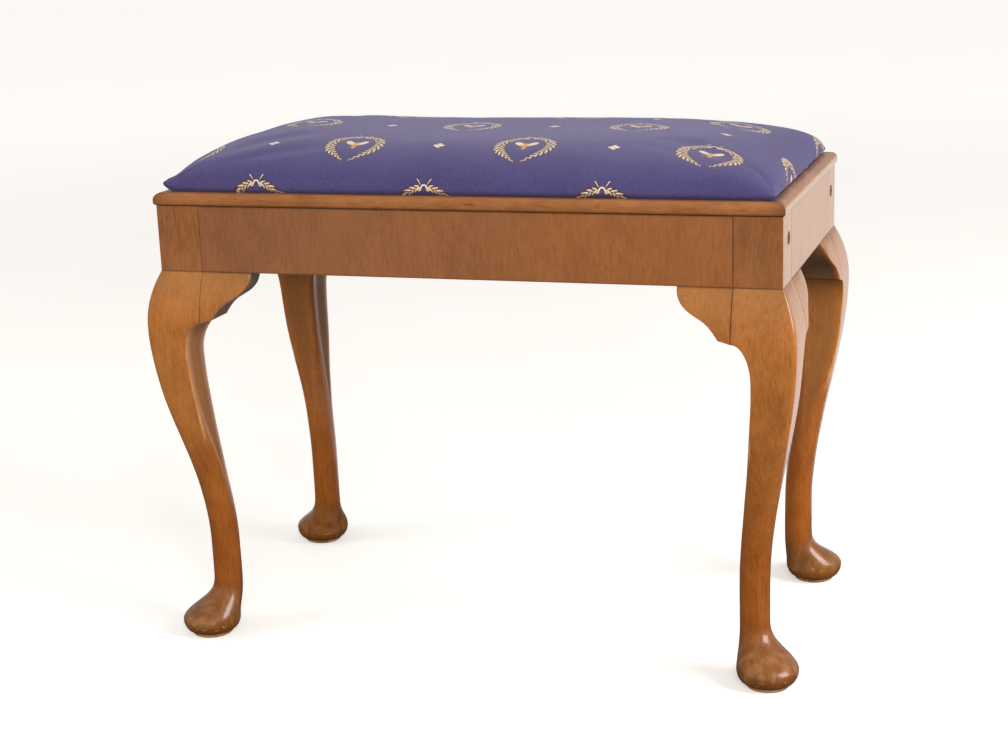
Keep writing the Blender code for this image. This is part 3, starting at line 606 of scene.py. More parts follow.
def set_on_places(given, made, shape, seed, turn):
    """Ends a tree: the shape stands on each point along its aim, turned at random up to turn."""
    tree = shape.tree
    aim = add(tree, "GeometryNodeInputNamedAttribute", "Attribute", {"Name": "aim"}, data_type="FLOAT_VECTOR")
    stand = add(tree, "FunctionNodeAlignRotationToVector", "Rotation", {"Vector": aim}, axis="Z")
    inputs = {"Points": given["Places"], "Instance": shape, "Rotation": stand}
    standing = add(tree, "GeometryNodeInstanceOnPoints", "Instances", inputs)
    spin = add(tree, "FunctionNodeRandomValue", 1, {2: 0.0, 3: turn, "Seed": seed}, data_type="FLOAT")
    inputs = {"Instances": standing, "Rotation": add_vector(tree, 0.0, 0.0, spin), "Local Space": True}
    spun = add(tree, "GeometryNodeRotateInstances", "Instances", inputs)
    real = add(tree, "GeometryNodeRealizeInstances", "Geometry", {"Geometry": spun})
    inputs = {"Geometry": real, "Shade Smooth": False}
    flat = add(tree, "GeometryNodeSetShadeSmooth", "Geometry", inputs)
    inputs = {"Geometry": flat, "Material": given["Finish"]}
    put(made["Pieces"], add(tree, "GeometryNodeSetMaterial", "Geometry", inputs))


def grow(name, places, tree, sizes, finish):
    """Makes a plain mesh from a tree; places holds (point, aim) pairs."""
    mesh = bpy.data.meshes.new(name)
    mesh.from_pydata([point for point, _ in places], [], [])
    aims = mesh.attributes.new("aim", "FLOAT_VECTOR", "POINT")
    aims.data.foreach_set("vector", [part for _, aim in places for part in aim])
    piece = bpy.data.objects.new(name, mesh)
    bpy.context.scene.collection.objects.link(piece)
    modifier = piece.modifiers.new("grow", "NODES")
    modifier.node_group = tree
    for label, value in {**sizes, "Finish": finish}.items():
        modifier[tree.interface.items_tree[label].identifier] = value
    evaluated = piece.evaluated_get(bpy.context.evaluated_depsgraph_get())
    grown = bpy.data.meshes.new_from_object(evaluated)
    piece.modifiers.clear()
    piece.data = grown
    grown.set_sharp_from_angle(angle=math.radians(35))
    return piece


peg_finish, shader, place = new_finish("dark peg end", {"Specular IOR Level": 0.1}, "X")
_, y, level = parts_of(object_place(place.tree))
from_heart = distance(abs(y) - PEG_HEART[0], level - PEG_HEART[1])
rings = (from_heart * 4200 + cloud(place, 300) * 3).math("SINE") * 0.5 + 0.5
specks = cloud(place, (1500, 1500, 300), 2.0)
colour = tint(rings * 0.5 + specks, seen(40, 22, 15), seen(88, 50, 32))
# The narrow dark middle is a painted shadow, as of a slightly sunken end; the rim is paler wood.
shadowed_middle = ((abs(y) - PEG_PLACE[0]) / 0.0040) ** 2.0 + ((level - PEG_PLACE[1]) / 0.0056) ** 2.0
colour = tint(shadowed_middle.rise(0.75, 1.15) * 0.8, colour, seen(150, 104, 74))
surface(shader, colour, 0.55 + specks * 0.4, rings * 0.4 + specks, 0.0003)

tree, given, made = geometry_tree("tenon pegs", PEG_SIZES)
radius, length, chamfer = (given[label] for label in PEG_SIZES)
body = turned(radius, radius, length - chamfer, length * -1.0, 40)
cut_end = turned(radius, radius - chamfer, chamfer, chamfer * -1.0, 40)
set_on_places(given, made, merged(body, cut_end), seed=3, turn=math.tau)
places = []
for across, out in CORNERS.values():
    spot = (across * (FRAME_HALF[0] + PEG_PROUD), out * PEG_PLACE[0], PEG_PLACE[1])
    places.append((spot, (across, 0, 0)))
pegs = grow("tenon_pegs", places, tree, PEG_SIZES, peg_finish)
fit(pegs, "frame", "dark_peg", *[f"tenon_peg_{corner}" for corner in CORNERS])


# Ears
# Two shaped brackets beside each knee, sawn from walnut, glued to the leg and under the rails
# and then rounded together with the knee. A lobe at the tip, a hollow, and a cusp by the leg.

GLUE_LINE = 0.0003
RAIL_THICKNESS = 0.022
EAR_LENGTH = 0.048
EAR_DROP = 0.0457
EAR_TURN = (0.027, 0.026)
EAR_CUSP = (0.0112, 0.0428)
EAR_LOBE_HANDLES = [(0.048, 0.01404), (0.03792, 0.02002)]
EAR_HOLLOW_HANDLES = [(0.0191, 0.030536), (0.014992, 0.03692)]
EAR_ARRIS = 0.0014


def curve_through(start, first, second, end, shares):
    points = []
    for share in shares:
        rest = 1 - share
        weights = (rest ** 3, 3 * share * rest ** 2, 3 * share ** 2 * rest, share ** 3)
        handles = zip(weights, (start, first, second, end))
        points.append(sum((weight * Vector(handle) for weight, handle in handles), Vector((0, 0))))
    return points


def ear_outline():
    """Lower edge from the tip to the leg, as (distance from the leg, drop below the rail)."""
    lobe_shares = [share ** 2 for share in steps(30)]
    lobe = curve_through((EAR_LENGTH, 0.0), *EAR_LOBE_HANDLES, EAR_TURN, lobe_shares)
    hollow = curve_through(EAR_TURN, *EAR_HOLLOW_HANDLES, EAR_CUSP, steps(20))
    end = Vector((2 * GLUE_LINE, EAR_DROP))
    return lobe + hollow[1:] + [hollow[-1].lerp(end, share) for share in steps(6)[1:]]


def ear_ring(reach, drop):
    """Level section through an ear, its two outer arrises eased; each point has its wear and saw marks."""
    height = RAIL_BOTTOM - GLUE_LINE - drop * (EAR_DROP - GLUE_LINE) / EAR_DROP
    front, back = -leg_outer(height), RAIL_THICKNESS
    joint, tip = POST_WIDTH + GLUE_LINE, POST_WIDTH + reach
    radius = min(EAR_ARRIS, 0.45 * (tip - joint))
    ring = [(mix(joint, tip - radius, share), front, 0.0, 0.0) for share in (0.0, 0.33, 0.66)]
    for turn in steps(5, -math.pi / 2, 0.0):
        x, y = tip - radius + radius * math.cos(turn), front + radius + radius * math.sin(turn)
        ring.append((x, y, math.sin(-2 * turn), 0.0))
    ring += [(tip, mix(front + radius, back, share), 0.0, 1.0) for share in (0.12, 0.5, 0.8)]
    ring += [(tip, back - radius, 0.3, 1.0), (tip - radius, back, 0.3, 1.0), (joint, back, 0.0, 1.0)]
    return [(x, y, height, wear, sawn) for x, y, wear, sawn in ring]


ear_finish, shader, place = new_finish("polished walnut ear", {"Coat Roughness": 0.10, **WOOD_GLOSS})
height = parts_of(place)[2]
figure = use(walnut, place, Light=LEG_LIGHT, Dark=LEG_DARK, Pore=PORE_BROWN)
sawn = mark_of(place, "sawn")
ridge = use(saw_marks, place)["Ridge"]
# The same darker olive band under the rail: painted shade, with old wax.
shade_and_wax_band = (height + cloud(place, (16, 16, 10)) * 0.036).rise(0.318, 0.358) * 0.38
colour = tint(shade_and_wax_band, figure["Colour"], SHADE_AND_OLD_WAX)
# The sawn back is bare wood, painted dark as well for the shade under the rails.
colour = tint(sawn * 0.8, colour, tint(ridge * 0.6, seen(96, 78, 60), seen(74, 54, 38)))
rough, edge = figure["Roughness"] + sawn * 0.3, mark_of(place, "wear") * 0.8
touched = use(rubbed, place, Colour=colour, Roughness=rough, Edge=edge, Worn=WORN_WOOD)
# Darker at the top under the rail and by the joint with the leg: painted shade, with settled dirt.
corner = height.rise(0.3580, 0.3596).most(mark_of(place, "from_leg").rise(0.0013, 0.0004)) * 0.55
put(shader.inputs["Coat Weight"], 0.4 - sawn * 0.36)
colour = use(grime_and_shade, place, Colour=touched["Colour"], Corner=corner)["Colour"]
surface(shader, colour, touched["Roughness"], figure["Relief"], 0.00025)

for corner, (across, out) in CORNERS.items():
    for label in ("long", "end"):
        placed, faces = loft([ear_ring(*spot) for spot in ear_outline()])
        points = []
        for x, y, z, _, _ in placed:
            x, y = (y, x) if label == "end" else (x, y)
            points.append((across * (FRAME_HALF[0] - x), out * (FRAME_HALF[1] - y), z))
        marks = {"wear": [point[3] for point in placed], "sawn": [point[4] for point in placed]}
        marks["from_leg"] = [point[0] - POST_WIDTH - GLUE_LINE for point in placed]
        ear = add_piece(f"walnut_ear_{corner}_{label}", points, faces, ear_finish, marks, sharp=45)
        fit(ear, "frame", "ear_walnut", f"ear_{corner}_{label}")


# Top moulding
# Four mitred lengths of walnut with a rounded nose, glued on top of the rails. They make the
# rebate for the seat; the nose is rubbed pale where hands lift the seat out.

MOULDING_WIDTH = 0.0125
MOULDING_HEIGHT = 0.0115
MOULDING_OVERHANG = 0.002
MOULDING_NOSE = 0.0065
MOULDING_FOOT = 0.003
MOULDING_EDGE = 0.0007
MOULDING_WAVER = 0.00018
MOULDING_STATIONS = 48


def moulding_section():
    """(distance inwards, height above the rail, wear) round the section."""
    section = []
    for turn in steps(7, math.radians(270), math.radians(180)):
        section.append((MOULDING_FOOT * (1 + math.cos(turn)), MOULDING_FOOT * (1 + math.sin(turn)), 0.0))
    low, high = math.radians(165), math.radians(95)
    for turn in steps(14, math.radians(180), math.radians(90)):
        rise = MOULDING_HEIGHT - MOULDING_NOSE + MOULDING_NOSE * math.sin(turn)
        wear = 0.75 * ease(turn, low, low - 0.4) * ease(turn, high, high + 0.4)
        section.append((MOULDING_NOSE * (1 + math.cos(turn)), rise, wear))
    for inwards, drop, wear in ((1.0, 0.0, 0.6), (0.3, 0.3, 1.0), (0.0, 1.0, 0.6)):
        inset = MOULDING_WIDTH - inwards * MOULDING_EDGE
        section.append((inset, MOULDING_HEIGHT - drop * MOULDING_EDGE, wear))
    return section + [(MOULDING_WIDTH, 0.0, 0.0)]


def turn_to_side(point, side):
    """A point drawn for the front of the stool, turned to one of its four sides."""
    across, out = SIDES[side]
    x, y, z = point
    return (-across * y, across * x, z) if across else (-out * x, -out * y, z)


moulding_finishes = {}
# The end lengths, along Y, are painted paler with more coat: a painted glare, as on the ends lit from the
# side.
for along, light, dark, coat in (
    ("X", seen(158, 101, 56), seen(124, 74, 38), 0.2),
    ("Y", seen(180, 128, 90), seen(146, 98, 64), 0.6),
):
    sockets = {"Coat Weight": coat, "Coat Roughness": 0.16, **WOOD_GLOSS}
    finish, shader, place = new_finish(f"moulding walnut {along}", sockets, along)
    figure = use(walnut, place, Light=light, Dark=dark, Pore=PORE_BROWN)
    edge, worn = mark_of(place, "wear") * 0.7, seen(206, 158, 112)
    touched = use(rubbed, place, Colour=figure["Colour"], Roughness=figure["Roughness"], Edge=edge, Worn=worn)
    height = parts_of(object_place(place.tree))[2]
    # Darker at its foot on the rail and at the mitres: painted shade in these joints, with settled dirt.
    corner = height.rise(0.4218, 0.4204).most(mark_of(place, "mitre")) * 0.6
    colour = use(grime_and_shade, place, Colour=touched["Colour"], Corner=corner)["Colour"]
    surface(shader, colour, touched["Roughness"], figure["Relief"], 0.0002)
    moulding_finishes[along] = finish

for side, (end, _) in SIDES.items():
    half, face = FRAME_HALF[::-1] if end else FRAME_HALF
    rings, wears, mitres = [], [], []
    for share in steps(MOULDING_STATIONS, -1.0, 1.0):
        ring = []
        for inwards, rise, wear in moulding_section():
            x = share * (half + MOULDING_OVERHANG - inwards - GLUE_LINE / 2)
            y = -face - MOULDING_OVERHANG + inwards
            waver = noise.noise(Vector((x * 30, y * 40, 9.0 * len(side)))) * MOULDING_WAVER
            y += waver * ease(abs(share), 1.0, 0.97) * ease(inwards, 0.009, 0.003)
            ring.append(turn_to_side((x, y, RAIL_TOP + GLUE_LINE + rise), side))
            wears.append(wear * (0.75 + 0.35 * abs(share) ** 6))
            mitres.append(ease(abs(share), 0.996, 1.0))
        rings.append(ring)
    finish = moulding_finishes["Y" if end else "X"]
    marks = {"wear": wears, "mitre": mitres}
    moulding = add_piece(f"walnut_moulding_{side}", *loft(rings), finish, marks, sharp=40)
    fit(moulding, "frame", "moulding_walnut", f"moulding_{side}")


# Corner blocks and screws
# Pine blocks notched round the posts brace the corners inside the frame. Each is glued and
# held by two slotted steel screws with round heads, let in square to the rails.

SCREW_SIZES = {"Radius": 0.0021, "Length": 0.021, "Head radius": 0.0042, "Head height": 0.0026,
               "Slot": 0.0009}
SCREW_PLACE = (POST_WIDTH + 0.012, RAIL_THICKNESS + GLUE_LINE + 0.009)
SCREW_LEVEL = 0.391

block_finish = bare_wood("sawn pine block", seen(206, 166, 110), seen(164, 118, 70), "X")
for corner in CORNERS:
    give_finish(f"corner_block_{corner}", block_finish)

screw_finish, shader, place = new_finish("old screw steel", {"Metallic": 1.0})
rust = cloud(place, 420, 4.0).rise(-0.02, 0.16)
scuffs = cloud(place, (2600, 900, 2600), 2.0)
colour = tint(rust * 0.7, tint(scuffs + 0.5, seen(120, 116, 110), seen(176, 172, 166)), seen(92, 58, 38))
surface(shader, colour, 0.38 + rust * 0.35 + scuffs * 0.2, scuffs + rust * 0.6, 0.0001)

tree, given, made = geometry_tree("slotted screws", SCREW_SIZES)
radius, length, head, rise, slot_width = (given[label] for label in SCREW_SIZES)
brim = turned(head, head, rise * 0.45, 0.0, 28)
dome = turned(head, head * 0.6, rise * 0.55, rise * 0.45, 28)
blade = {"Size": add_vector(tree, slot_width, head * 3.0, rise)}
blade = raised(add(tree, "GeometryNodeMeshCube", "Mesh", blade), rise)
cut = {"Mesh 1": merged(brim, dome), "Mesh 2": blade}
slotted = add(tree, "GeometryNodeMeshBoolean", "Mesh", cut, operation="DIFFERENCE")
thread = turned(radius * 0.25, radius, length, length * -1.0, 20)
set_on_places(given, made, joined(slotted, thread), seed=11, turn=math.pi)
places = []
for across, out in CORNERS.values():
    near, deep = SCREW_PLACE
    for (x, y), aim in (((near, deep), (0, -out, 0)), ((deep, near), (-across, 0, 0))):
        places.append(((across * (FRAME_HALF[0] - x), out * (FRAME_HALF[1] - y), SCREW_LEVEL), aim))
screws = grow("block_screws", places, tree, SCREW_SIZES, screw_finish)
nodes = [f"block_screw_{corner}_{label}" for corner in CORNERS for label in ("long", "end")]
fit(screws, "frame", "screw_steel", *nodes)


# Seat frame
# Four beech rails half-lapped and glued into a loose frame that drops into the rebate. It lifts
# out with everything that is tacked to it.

finish_rails("seat_rail", "seat beech", seen(202, 164, 118), seen(164, 122, 82))


# Webbing
# Six straps of striped jute webbing, 50 mm wide, stretched over the seat frame, woven over and
# under each other, and tacked at both ends.

STRAP_WIDTH = 0.050
STRAP_THICKNESS = 0.0016
STRAP_TACKED = 0.032
STRAP_RAMP = 0.012
STRAP_STATIONS = 90
STRAP_POINTS = 10
STRAP_THREADS = 620.0
SEAT_OPENING = (0.227, 0.091)
SEAT_FRAME_TOP = 0.4378
ALONG_PLACES = [-SEAT_OPENING[1] / 3, SEAT_OPENING[1] / 3]
ACROSS_PLACES = [SEAT_OPENING[0] * share for share in (-0.6, -0.2, 0.2, 0.6)]

inputs = {"Place": "Vector", "Threads": "Float"}
weave, given, made = new_group("plain weave", inputs, {"Height": "Float", "Thread": "Float"})
place = given["Place"]
threads = given["Threads"] * math.pi
over, under, _ = parts_of(place)
slub = cloud(place, (60, 1400, 0), 2.0) + cloud(place, (1400, 60, 0), 2.0)
crossed = (over * threads).math("SINE") * (under * threads).math("SINE")
put(made["Height"], crossed * 0.5 + slub * 0.5 + 0.5)
put(made["Thread"], slub + crossed * 0.12 + 0.5)


def run_of(shader):
    """Place on a sheet's own flat coordinates."""
    return add(shader.id_data, "ShaderNodeUVMap", "UV", uv_map="run")


strap_finish, shader, _ = new_finish("striped jute webbing", {"Specular IOR Level": 0.2})
place = run_of(shader)
woven = use(weave, place, Threads=STRAP_THREADS)
stripe = abs(abs(parts_of(place)[0]) - 0.0165).rise(0.0022, 0.0014)
jute = tint(woven["Thread"], seen(122, 92, 56), seen(186, 152, 104))
dyed = tint(woven["Thread"], seen(70, 44, 36), seen(124, 76, 60))
soiled = cloud(place, (35, 12, 0), 4.0).rise(-0.05, 0.3)
colour = tint(soiled * 0.3, tint(stripe * 0.85, jute, dyed), seen(92, 76, 58))
surface(shader, colour, 0.86 + soiled * 0.1, woven["Height"], 0.0005)


def strap_level(run, crossings, starts_over):
    """Height of a strap's underside along its run."""
    low = SEAT_FRAME_TOP + GLUE_LINE
    high = low + STRAP_THICKNESS + GLUE_LINE
    flat = STRAP_WIDTH / 2 + STRAP_THICKNESS
    over = [crossing for index, crossing in enumerate(crossings) if (index % 2 == 0) == starts_over]
    return mix(low, high, max(ease(abs(run - crossing), flat + STRAP_RAMP, flat) for crossing in over))


def give_run(piece, places):
    """Gives a sheet its own flat coordinates in metres, one pair for each point."""
    layer = piece.data.uv_layers.new(name="run")
    for loop in piece.data.loops:
        layer.data[loop.index].uv = places[loop.vertex_index]


def add_strap(way, number, place, crossings, end, starts_over):
    rings, runs = [], []
    section = [(share, 0) for share in steps(STRAP_POINTS, -1, 1)]
    section += [(share, 1) for share in steps(STRAP_POINTS, 1, -1)]
    for run in steps(STRAP_STATIONS, -end, end):
        level = strap_level(run, crossings, starts_over)
        ring = []
        for share, rise in section:
            side = share * STRAP_WIDTH / 2 * (1 - 0.012 * rise * (abs(share) > 0.99))
            ridge = 0.0001 * math.cos(share * 40) * (1 - abs(share))
            ring.append((run, place + side, level + rise * STRAP_THICKNESS + ridge * (2 * rise - 1)))
            runs.append((side, run))
        rings.append(ring)
    points, faces = loft(rings)
    if way == "across":
        points = [(y, x, z) for x, y, z in points]
    strap = add_piece(f"jute_strap_{way}_{number}", points, faces, strap_finish, sharp=60)
    give_run(strap, runs)
    fit(strap, "seat", "webbing_jute", f"webbing_{way}_{number}")


for index, place in enumerate(ALONG_PLACES):
    add_strap("along", index + 1, place, ACROSS_PLACES, SEAT_OPENING[0] + STRAP_TACKED, index % 2 == 0)
for index, place in enumerate(ACROSS_PLACES):
    add_strap("across", index + 1, place, ALONG_PLACES, SEAT_OPENING[1] + STRAP_TACKED, index % 2 == 1)


# Hessian
# One piece of coarse jute cloth stretched over the webbing to carry the stuffing, with its
# corners cut off. It sags a little between the straps.

HESSIAN_HALF = (0.256, 0.120)
HESSIAN_CUT = 0.022
HESSIAN_BOTTOM = 0.4419
HESSIAN_THICKNESS = 0.001
HESSIAN_SAG = 0.0012
HESSIAN_GRID = (96, 48)
HESSIAN_THREADS = 760.0

hessian_finish, shader, place = new_finish("coarse hessian", {"Specular IOR Level": 0.2})
woven = use(weave, place, Threads=HESSIAN_THREADS)
gap = woven["Height"].rise(0.42, 0.18)
colour = tint(woven["Thread"], seen(112, 82, 48), seen(172, 136, 88))
colour = tint(gap * 0.6, colour, seen(52, 36, 22))
surface(shader, colour, 0.9 + gap * 0.08, woven["Height"], 0.0006)


def hessian_point(along, across, top):
    x, y = along * HESSIAN_HALF[0], across * HESSIAN_HALF[1]
    over = abs(x) + abs(y) - HESSIAN_HALF[0] - HESSIAN_HALF[1] + HESSIAN_CUT
    if over > 0:
        x -= math.copysign(over / 2, x)
        y -= math.copysign(over / 2, y)
    sag = HESSIAN_SAG
    for place, straps, opening, slack in (
        (x, ACROSS_PLACES, SEAT_OPENING[0], 0.010), (y, ALONG_PLACES, SEAT_OPENING[1], 0.005)
    ):
        clear = min(abs(place - strap) for strap in straps) - STRAP_WIDTH / 2
        sag *= ease(clear, 0.0, slack) * ease(abs(place), opening, opening - 0.012)
    return (x, y, HESSIAN_BOTTOM + top * HESSIAN_THICKNESS - sag)


def grid_faces(columns, rows):
    """Faces of a grid whose points are numbered column by column."""
    count = rows + 1
    lowest = [column * count + row for column in range(columns) for row in range(rows)]
    return [(low, low + count, low + count + 1, low + 1) for low in lowest]


def grid_rim(columns, rows):
    """The places of a grid's edge points, once round it."""
    rim = [(column, 0) for column in range(columns + 1)]
    rim += [(columns, row) for row in range(1, rows + 1)]
    rim += [(column, rows) for column in range(columns - 1, -1, -1)]
    return rim + [(0, row) for row in range(rows - 1, 0, -1)]


lengths, widths = (steps(count, -1.0, 1.0) for count in HESSIAN_GRID)
points = [hessian_point(along, across, top) for top in (0, 1) for along in lengths for across in widths]
upper = len(points) // 2
faces = grid_faces(*HESSIAN_GRID)
faces += [tuple(upper + corner for corner in face) for face in faces]
rim = [column * len(widths) + row for column, row in grid_rim(*HESSIAN_GRID)]
faces += [(low, after, upper + after, upper + low) for low, after in zip(rim, rim[1:] + rim[:1])]
hessian = add_piece("jute_hessian", points, faces, hessian_finish, sharp=60)
fit(hessian, "seat", "hessian_jute", "seat_hessian")


# Cushion
# Horsehair and wadding built up to a crown on the hessian, under one woven cover that is drawn
# tight over the frame, pleated at the corners and tacked underneath. The cloth is blue-violet
# with laurel wreaths round a small winged insect, and rosettes between them.

CUSHION_HALF = (0.278, 0.142)
CUSHION_EDGE = 0.437
CUSHION_CROWN = 0.0355
CUSHION_PUFF = 0.0022
CORNER_EAR = 0.003
LEFT_FULLNESS = 4.8
RIGHT_FULLNESS = 6.0
DEPTH_FULLNESS = 3.2
STEEPNESS = 0.364
HARD_END = -0.80
HARD_SPAN = 0.254
HARDER = 0.21
PUFF_SHARE = 0.35
PUFF_FRAMES = 20
PUCKER_DEPTH = 0.0011
LUMP_DEPTH = 0.0007
COVER_THREADS = 1900.0
COLUMNS = 112
ROWS = 64
# Way, reach and depth of the pleats in each corner.
PLEATS = [(0.80, 0.036, 0.0019), (0.36, 0.030, 0.0012), (1.22, 0.028, 0.0012), (0.12, 0.022, 0.0007),
          (1.45, 0.022, 0.0007)]
# Inset and level of the cover down the side, round the hem and up inside.
SIDE_LOOPS = [
    (0.0000, 0.4348), (0.0017, 0.4330), (0.0038, 0.4319), (0.0045, 0.4300), (0.0045, 0.4220),
    (0.0050, 0.4206), (0.0062, 0.4203), (0.0150, 0.4203), (0.0243, 0.4203), (0.0245, 0.4209),
    (0.0240, 0.4214), (0.0150, 0.4215), (0.0062, 0.4215), (0.0057, 0.4222), (0.0057, 0.4376),
    (0.0060, 0.4434),
]
# The inside closes under the crown in loops, each this share of the one before.
INSIDE_LOOPS = (0.88, 0.80, 0.70, 0.60, 0.50)


def closer_to_edges(count):
    return [mix(share, math.sin(share * math.pi / 2), 0.75) for share in steps(count, -1.0, 1.0)]


def bell(place, width):
    return math.exp(-(place / width) ** 2)


def crown_point(along, across):
    """The crown before the cover is drawn over it; the left end was stuffed harder."""
    length_fall = max(0.0, 1 - abs(along) ** (LEFT_FULLNESS if along < 0 else RIGHT_FULLNESS))
    depth_fall = max(0.0, 1 - abs(across) ** DEPTH_FULLNESS)
    harder = 1 + HARDER * bell(along - HARD_END, HARD_SPAN)
    height = CUSHION_EDGE + CUSHION_CROWN * harder * (length_fall * depth_fall) ** STEEPNESS
    to_corner = math.hypot((1 - abs(along)) * CUSHION_HALF[0], (1 - abs(across)) * CUSHION_HALF[1])
    ear = CORNER_EAR * (along < 0) * bell(to_corner, 0.009)
    return Vector((along * (CUSHION_HALF[0] + ear), across * (CUSHION_HALF[1] + ear), height + 0.8 * ear))


def cover_runs(grid):
    """Distances over the cloth from the middle of the crown, along X and along Y."""
    runs = {spot: [0.0, 0.0] for spot in grid}
    for axis, middle in enumerate((COLUMNS // 2, ROWS // 2)):
        for spot in sorted(grid, key=lambda spot: abs(spot[axis] - middle)):
            step = (spot[axis] > middle) - (spot[axis] < middle)
            inner = (spot[0] - step, spot[1]) if axis == 0 else (spot[0], spot[1] - step)
            runs[spot][axis] = runs[inner][axis] + step * (grid[spot] - grid[inner]).length
    return runs


def puffed(grid):
    """Lets a cloth over the stuffing swell under pressure, held round its edge."""
    mesh = bpy.data.meshes.new("cover_trial")
    mesh.from_pydata(list(grid.values()), [], grid_faces(COLUMNS, ROWS))
    trial = bpy.data.objects.new("cover_trial", mesh)
    bpy.context.scene.collection.objects.link(trial)
    held = trial.vertex_groups.new(name="held")
    held.add([column * (ROWS + 1) + row for column, row in grid_rim(COLUMNS, ROWS)], 1.0, "REPLACE")
    cloth = trial.modifiers.new("Cloth", "CLOTH")
    cloth.settings.quality = 6
    cloth.settings.mass = 0.25
    cloth.settings.tension_stiffness = 30
    cloth.settings.compression_stiffness = 30
    cloth.settings.bending_stiffness = 1.5
    cloth.settings.vertex_group_mass = "held"
    cloth.settings.use_pressure = True
    cloth.settings.uniform_pressure_force = 4.0
    cloth.settings.effector_weights.gravity = 0.0
    cloth.point_cache.frame_start = 1
    cloth.point_cache.frame_end = PUFF_FRAMES
    for number in range(1, PUFF_FRAMES + 1):
        bpy.context.scene.frame_set(number)
    swollen = trial.evaluated_get(bpy.context.evaluated_depsgraph_get())
    result = {}
    for (spot, start), point in zip(grid.items(), swollen.data.vertices):
        to_corner = math.hypot(CUSHION_HALF[0] - abs(start.x), CUSHION_HALF[1] - abs(start.y))
        move = (point.co - start) * PUFF_SHARE * ease(to_corner, 0.02, 0.10)
        result[spot] = start + move * min(1.0, CUSHION_PUFF / max(move.length, 1e-9))
    bpy.context.scene.frame_set(1)
    bpy.data.objects.remove(trial, do_unlink=True)
    bpy.data.meshes.remove(mesh)
    return result


def wave(x, y, z):
    return noise.noise(Vector((x, y, z)))


def drawn_in(spot, along, across):
    """How deep the cover is drawn in at a place: corner pleats, small puckers and soft lumps."""
    corner = Vector((CUSHION_HALF[0] - abs(spot.x), CUSHION_HALF[1] - abs(spot.y)))
    reach = corner.length
    turn = math.atan2(corner.y, corner.x)
    side = 2.0 * (spot.x > 0) + 1.0 * (spot.y > 0) + 0.4
    depth = 0.0
    for number, (way, pleat_reach, deep) in enumerate(PLEATS):
        way += 0.07 * math.sin(5.1 * side + 2.3 * number)
        off = reach * (turn - way) + 0.0012 * math.sin(reach * 130 + side)
        strength = bell(off, 0.0012 + 0.10 * reach) * bell(reach - 0.006, pleat_reach)
        depth += deep * strength * (0.8 + 0.4 * math.sin(side + number))
    rim = spot.z - CUSHION_EDGE
    run = spot.x if abs(across) > abs(along) else spot.y
    pucker = wave(run * 46, side * 3.7, 1.0) + 0.6 * wave(run * 110, side, 5.0)
    depth += PUCKER_DEPTH * max(0.0, pucker) * math.exp(-rim / 0.009)
    lumps = wave(spot.x * 11, spot.y * 13, 2.0) + 0.5 * wave(spot.x * 25, spot.y * 25, 7.0)
    return depth + LUMP_DEPTH * lumps * ease(rim, 0.0, 0.015)


lengths, widths = closer_to_edges(COLUMNS), closer_to_edges(ROWS)
grid = {}
for column, along in enumerate(lengths):
    for row, across in enumerate(widths):
        grid[column, row] = crown_point(along, across)
runs = cover_runs(grid)
grid = puffed(grid)

rim = grid_rim(COLUMNS, ROWS)
points = []
for (column, row), spot in grid.items():
    if column not in (0, COLUMNS) and row not in (0, ROWS):
        step_x = grid[column + 1, row] - grid[column - 1, row]
        step_y = grid[column, row + 1] - grid[column, row - 1]
        spot = spot - step_x.cross(step_y).normalized() * drawn_in(spot, lengths[column], widths[row])
    points.append(spot)
places = [tuple(runs[spot]) for spot in grid]
faces = grid_faces(COLUMNS, ROWS)

last = [column * (ROWS + 1) + row for column, row in rim]
run_down = 0.0
before = (0.0, CUSHION_EDGE)
for inset, level in SIDE_LOOPS:
    run_down += math.dist(before, (inset, level))
    before = (inset, level)
    loop = []
    for column, row in rim:
        along, across = lengths[column], widths[row]
        loop.append(len(points))
        points.append(Vector((along * (CUSHION_HALF[0] - inset), across * (CUSHION_HALF[1] - inset), level)))
        run_x, run_y = runs[column, row]
        run_x += math.copysign(run_down, along) * (abs(along) == 1)
        run_y += math.copysign(run_down, across) * (abs(across) == 1)
        places.append((run_x, run_y))
    for index in range(len(rim)):
        after = (index + 1) % len(rim)
        faces.append((last[index], last[after], loop[after], loop[index]))
    last = loop
for shrink in INSIDE_LOOPS:
    loop = []
    for index in last[::2]:
        loop.append(len(points))
        x, y, z = points[index]
        points.append(Vector((x * shrink, y * shrink, z)))
        places.append(places[index])
    for index, near in enumerate(last[::2]):
        after = (index + 1) % len(loop)
        middle, far = last[2 * index + 1], last[2 * after % len(last)]
        faces += [(near, middle, loop[index]), (middle, far, loop[after], loop[index])]
    last = loop
faces.append(tuple(last))

# Wreaths in a half-drop lattice, all measured in millimetres over the cloth. The cloth was pulled
# harder at the front than on top, and askew at the right end, where the rows run forwards.
# p and q lie across and up from the middle of a wreath.
ROW_PITCH = 88.0
COLUMN_PITCH = 160.0
FIRST_WREATH = (-28.5, -5.0)
WREATH_RADIUS = 23.0
LEAF_PITCH = 5.6
LEAF_REACH = 5.4

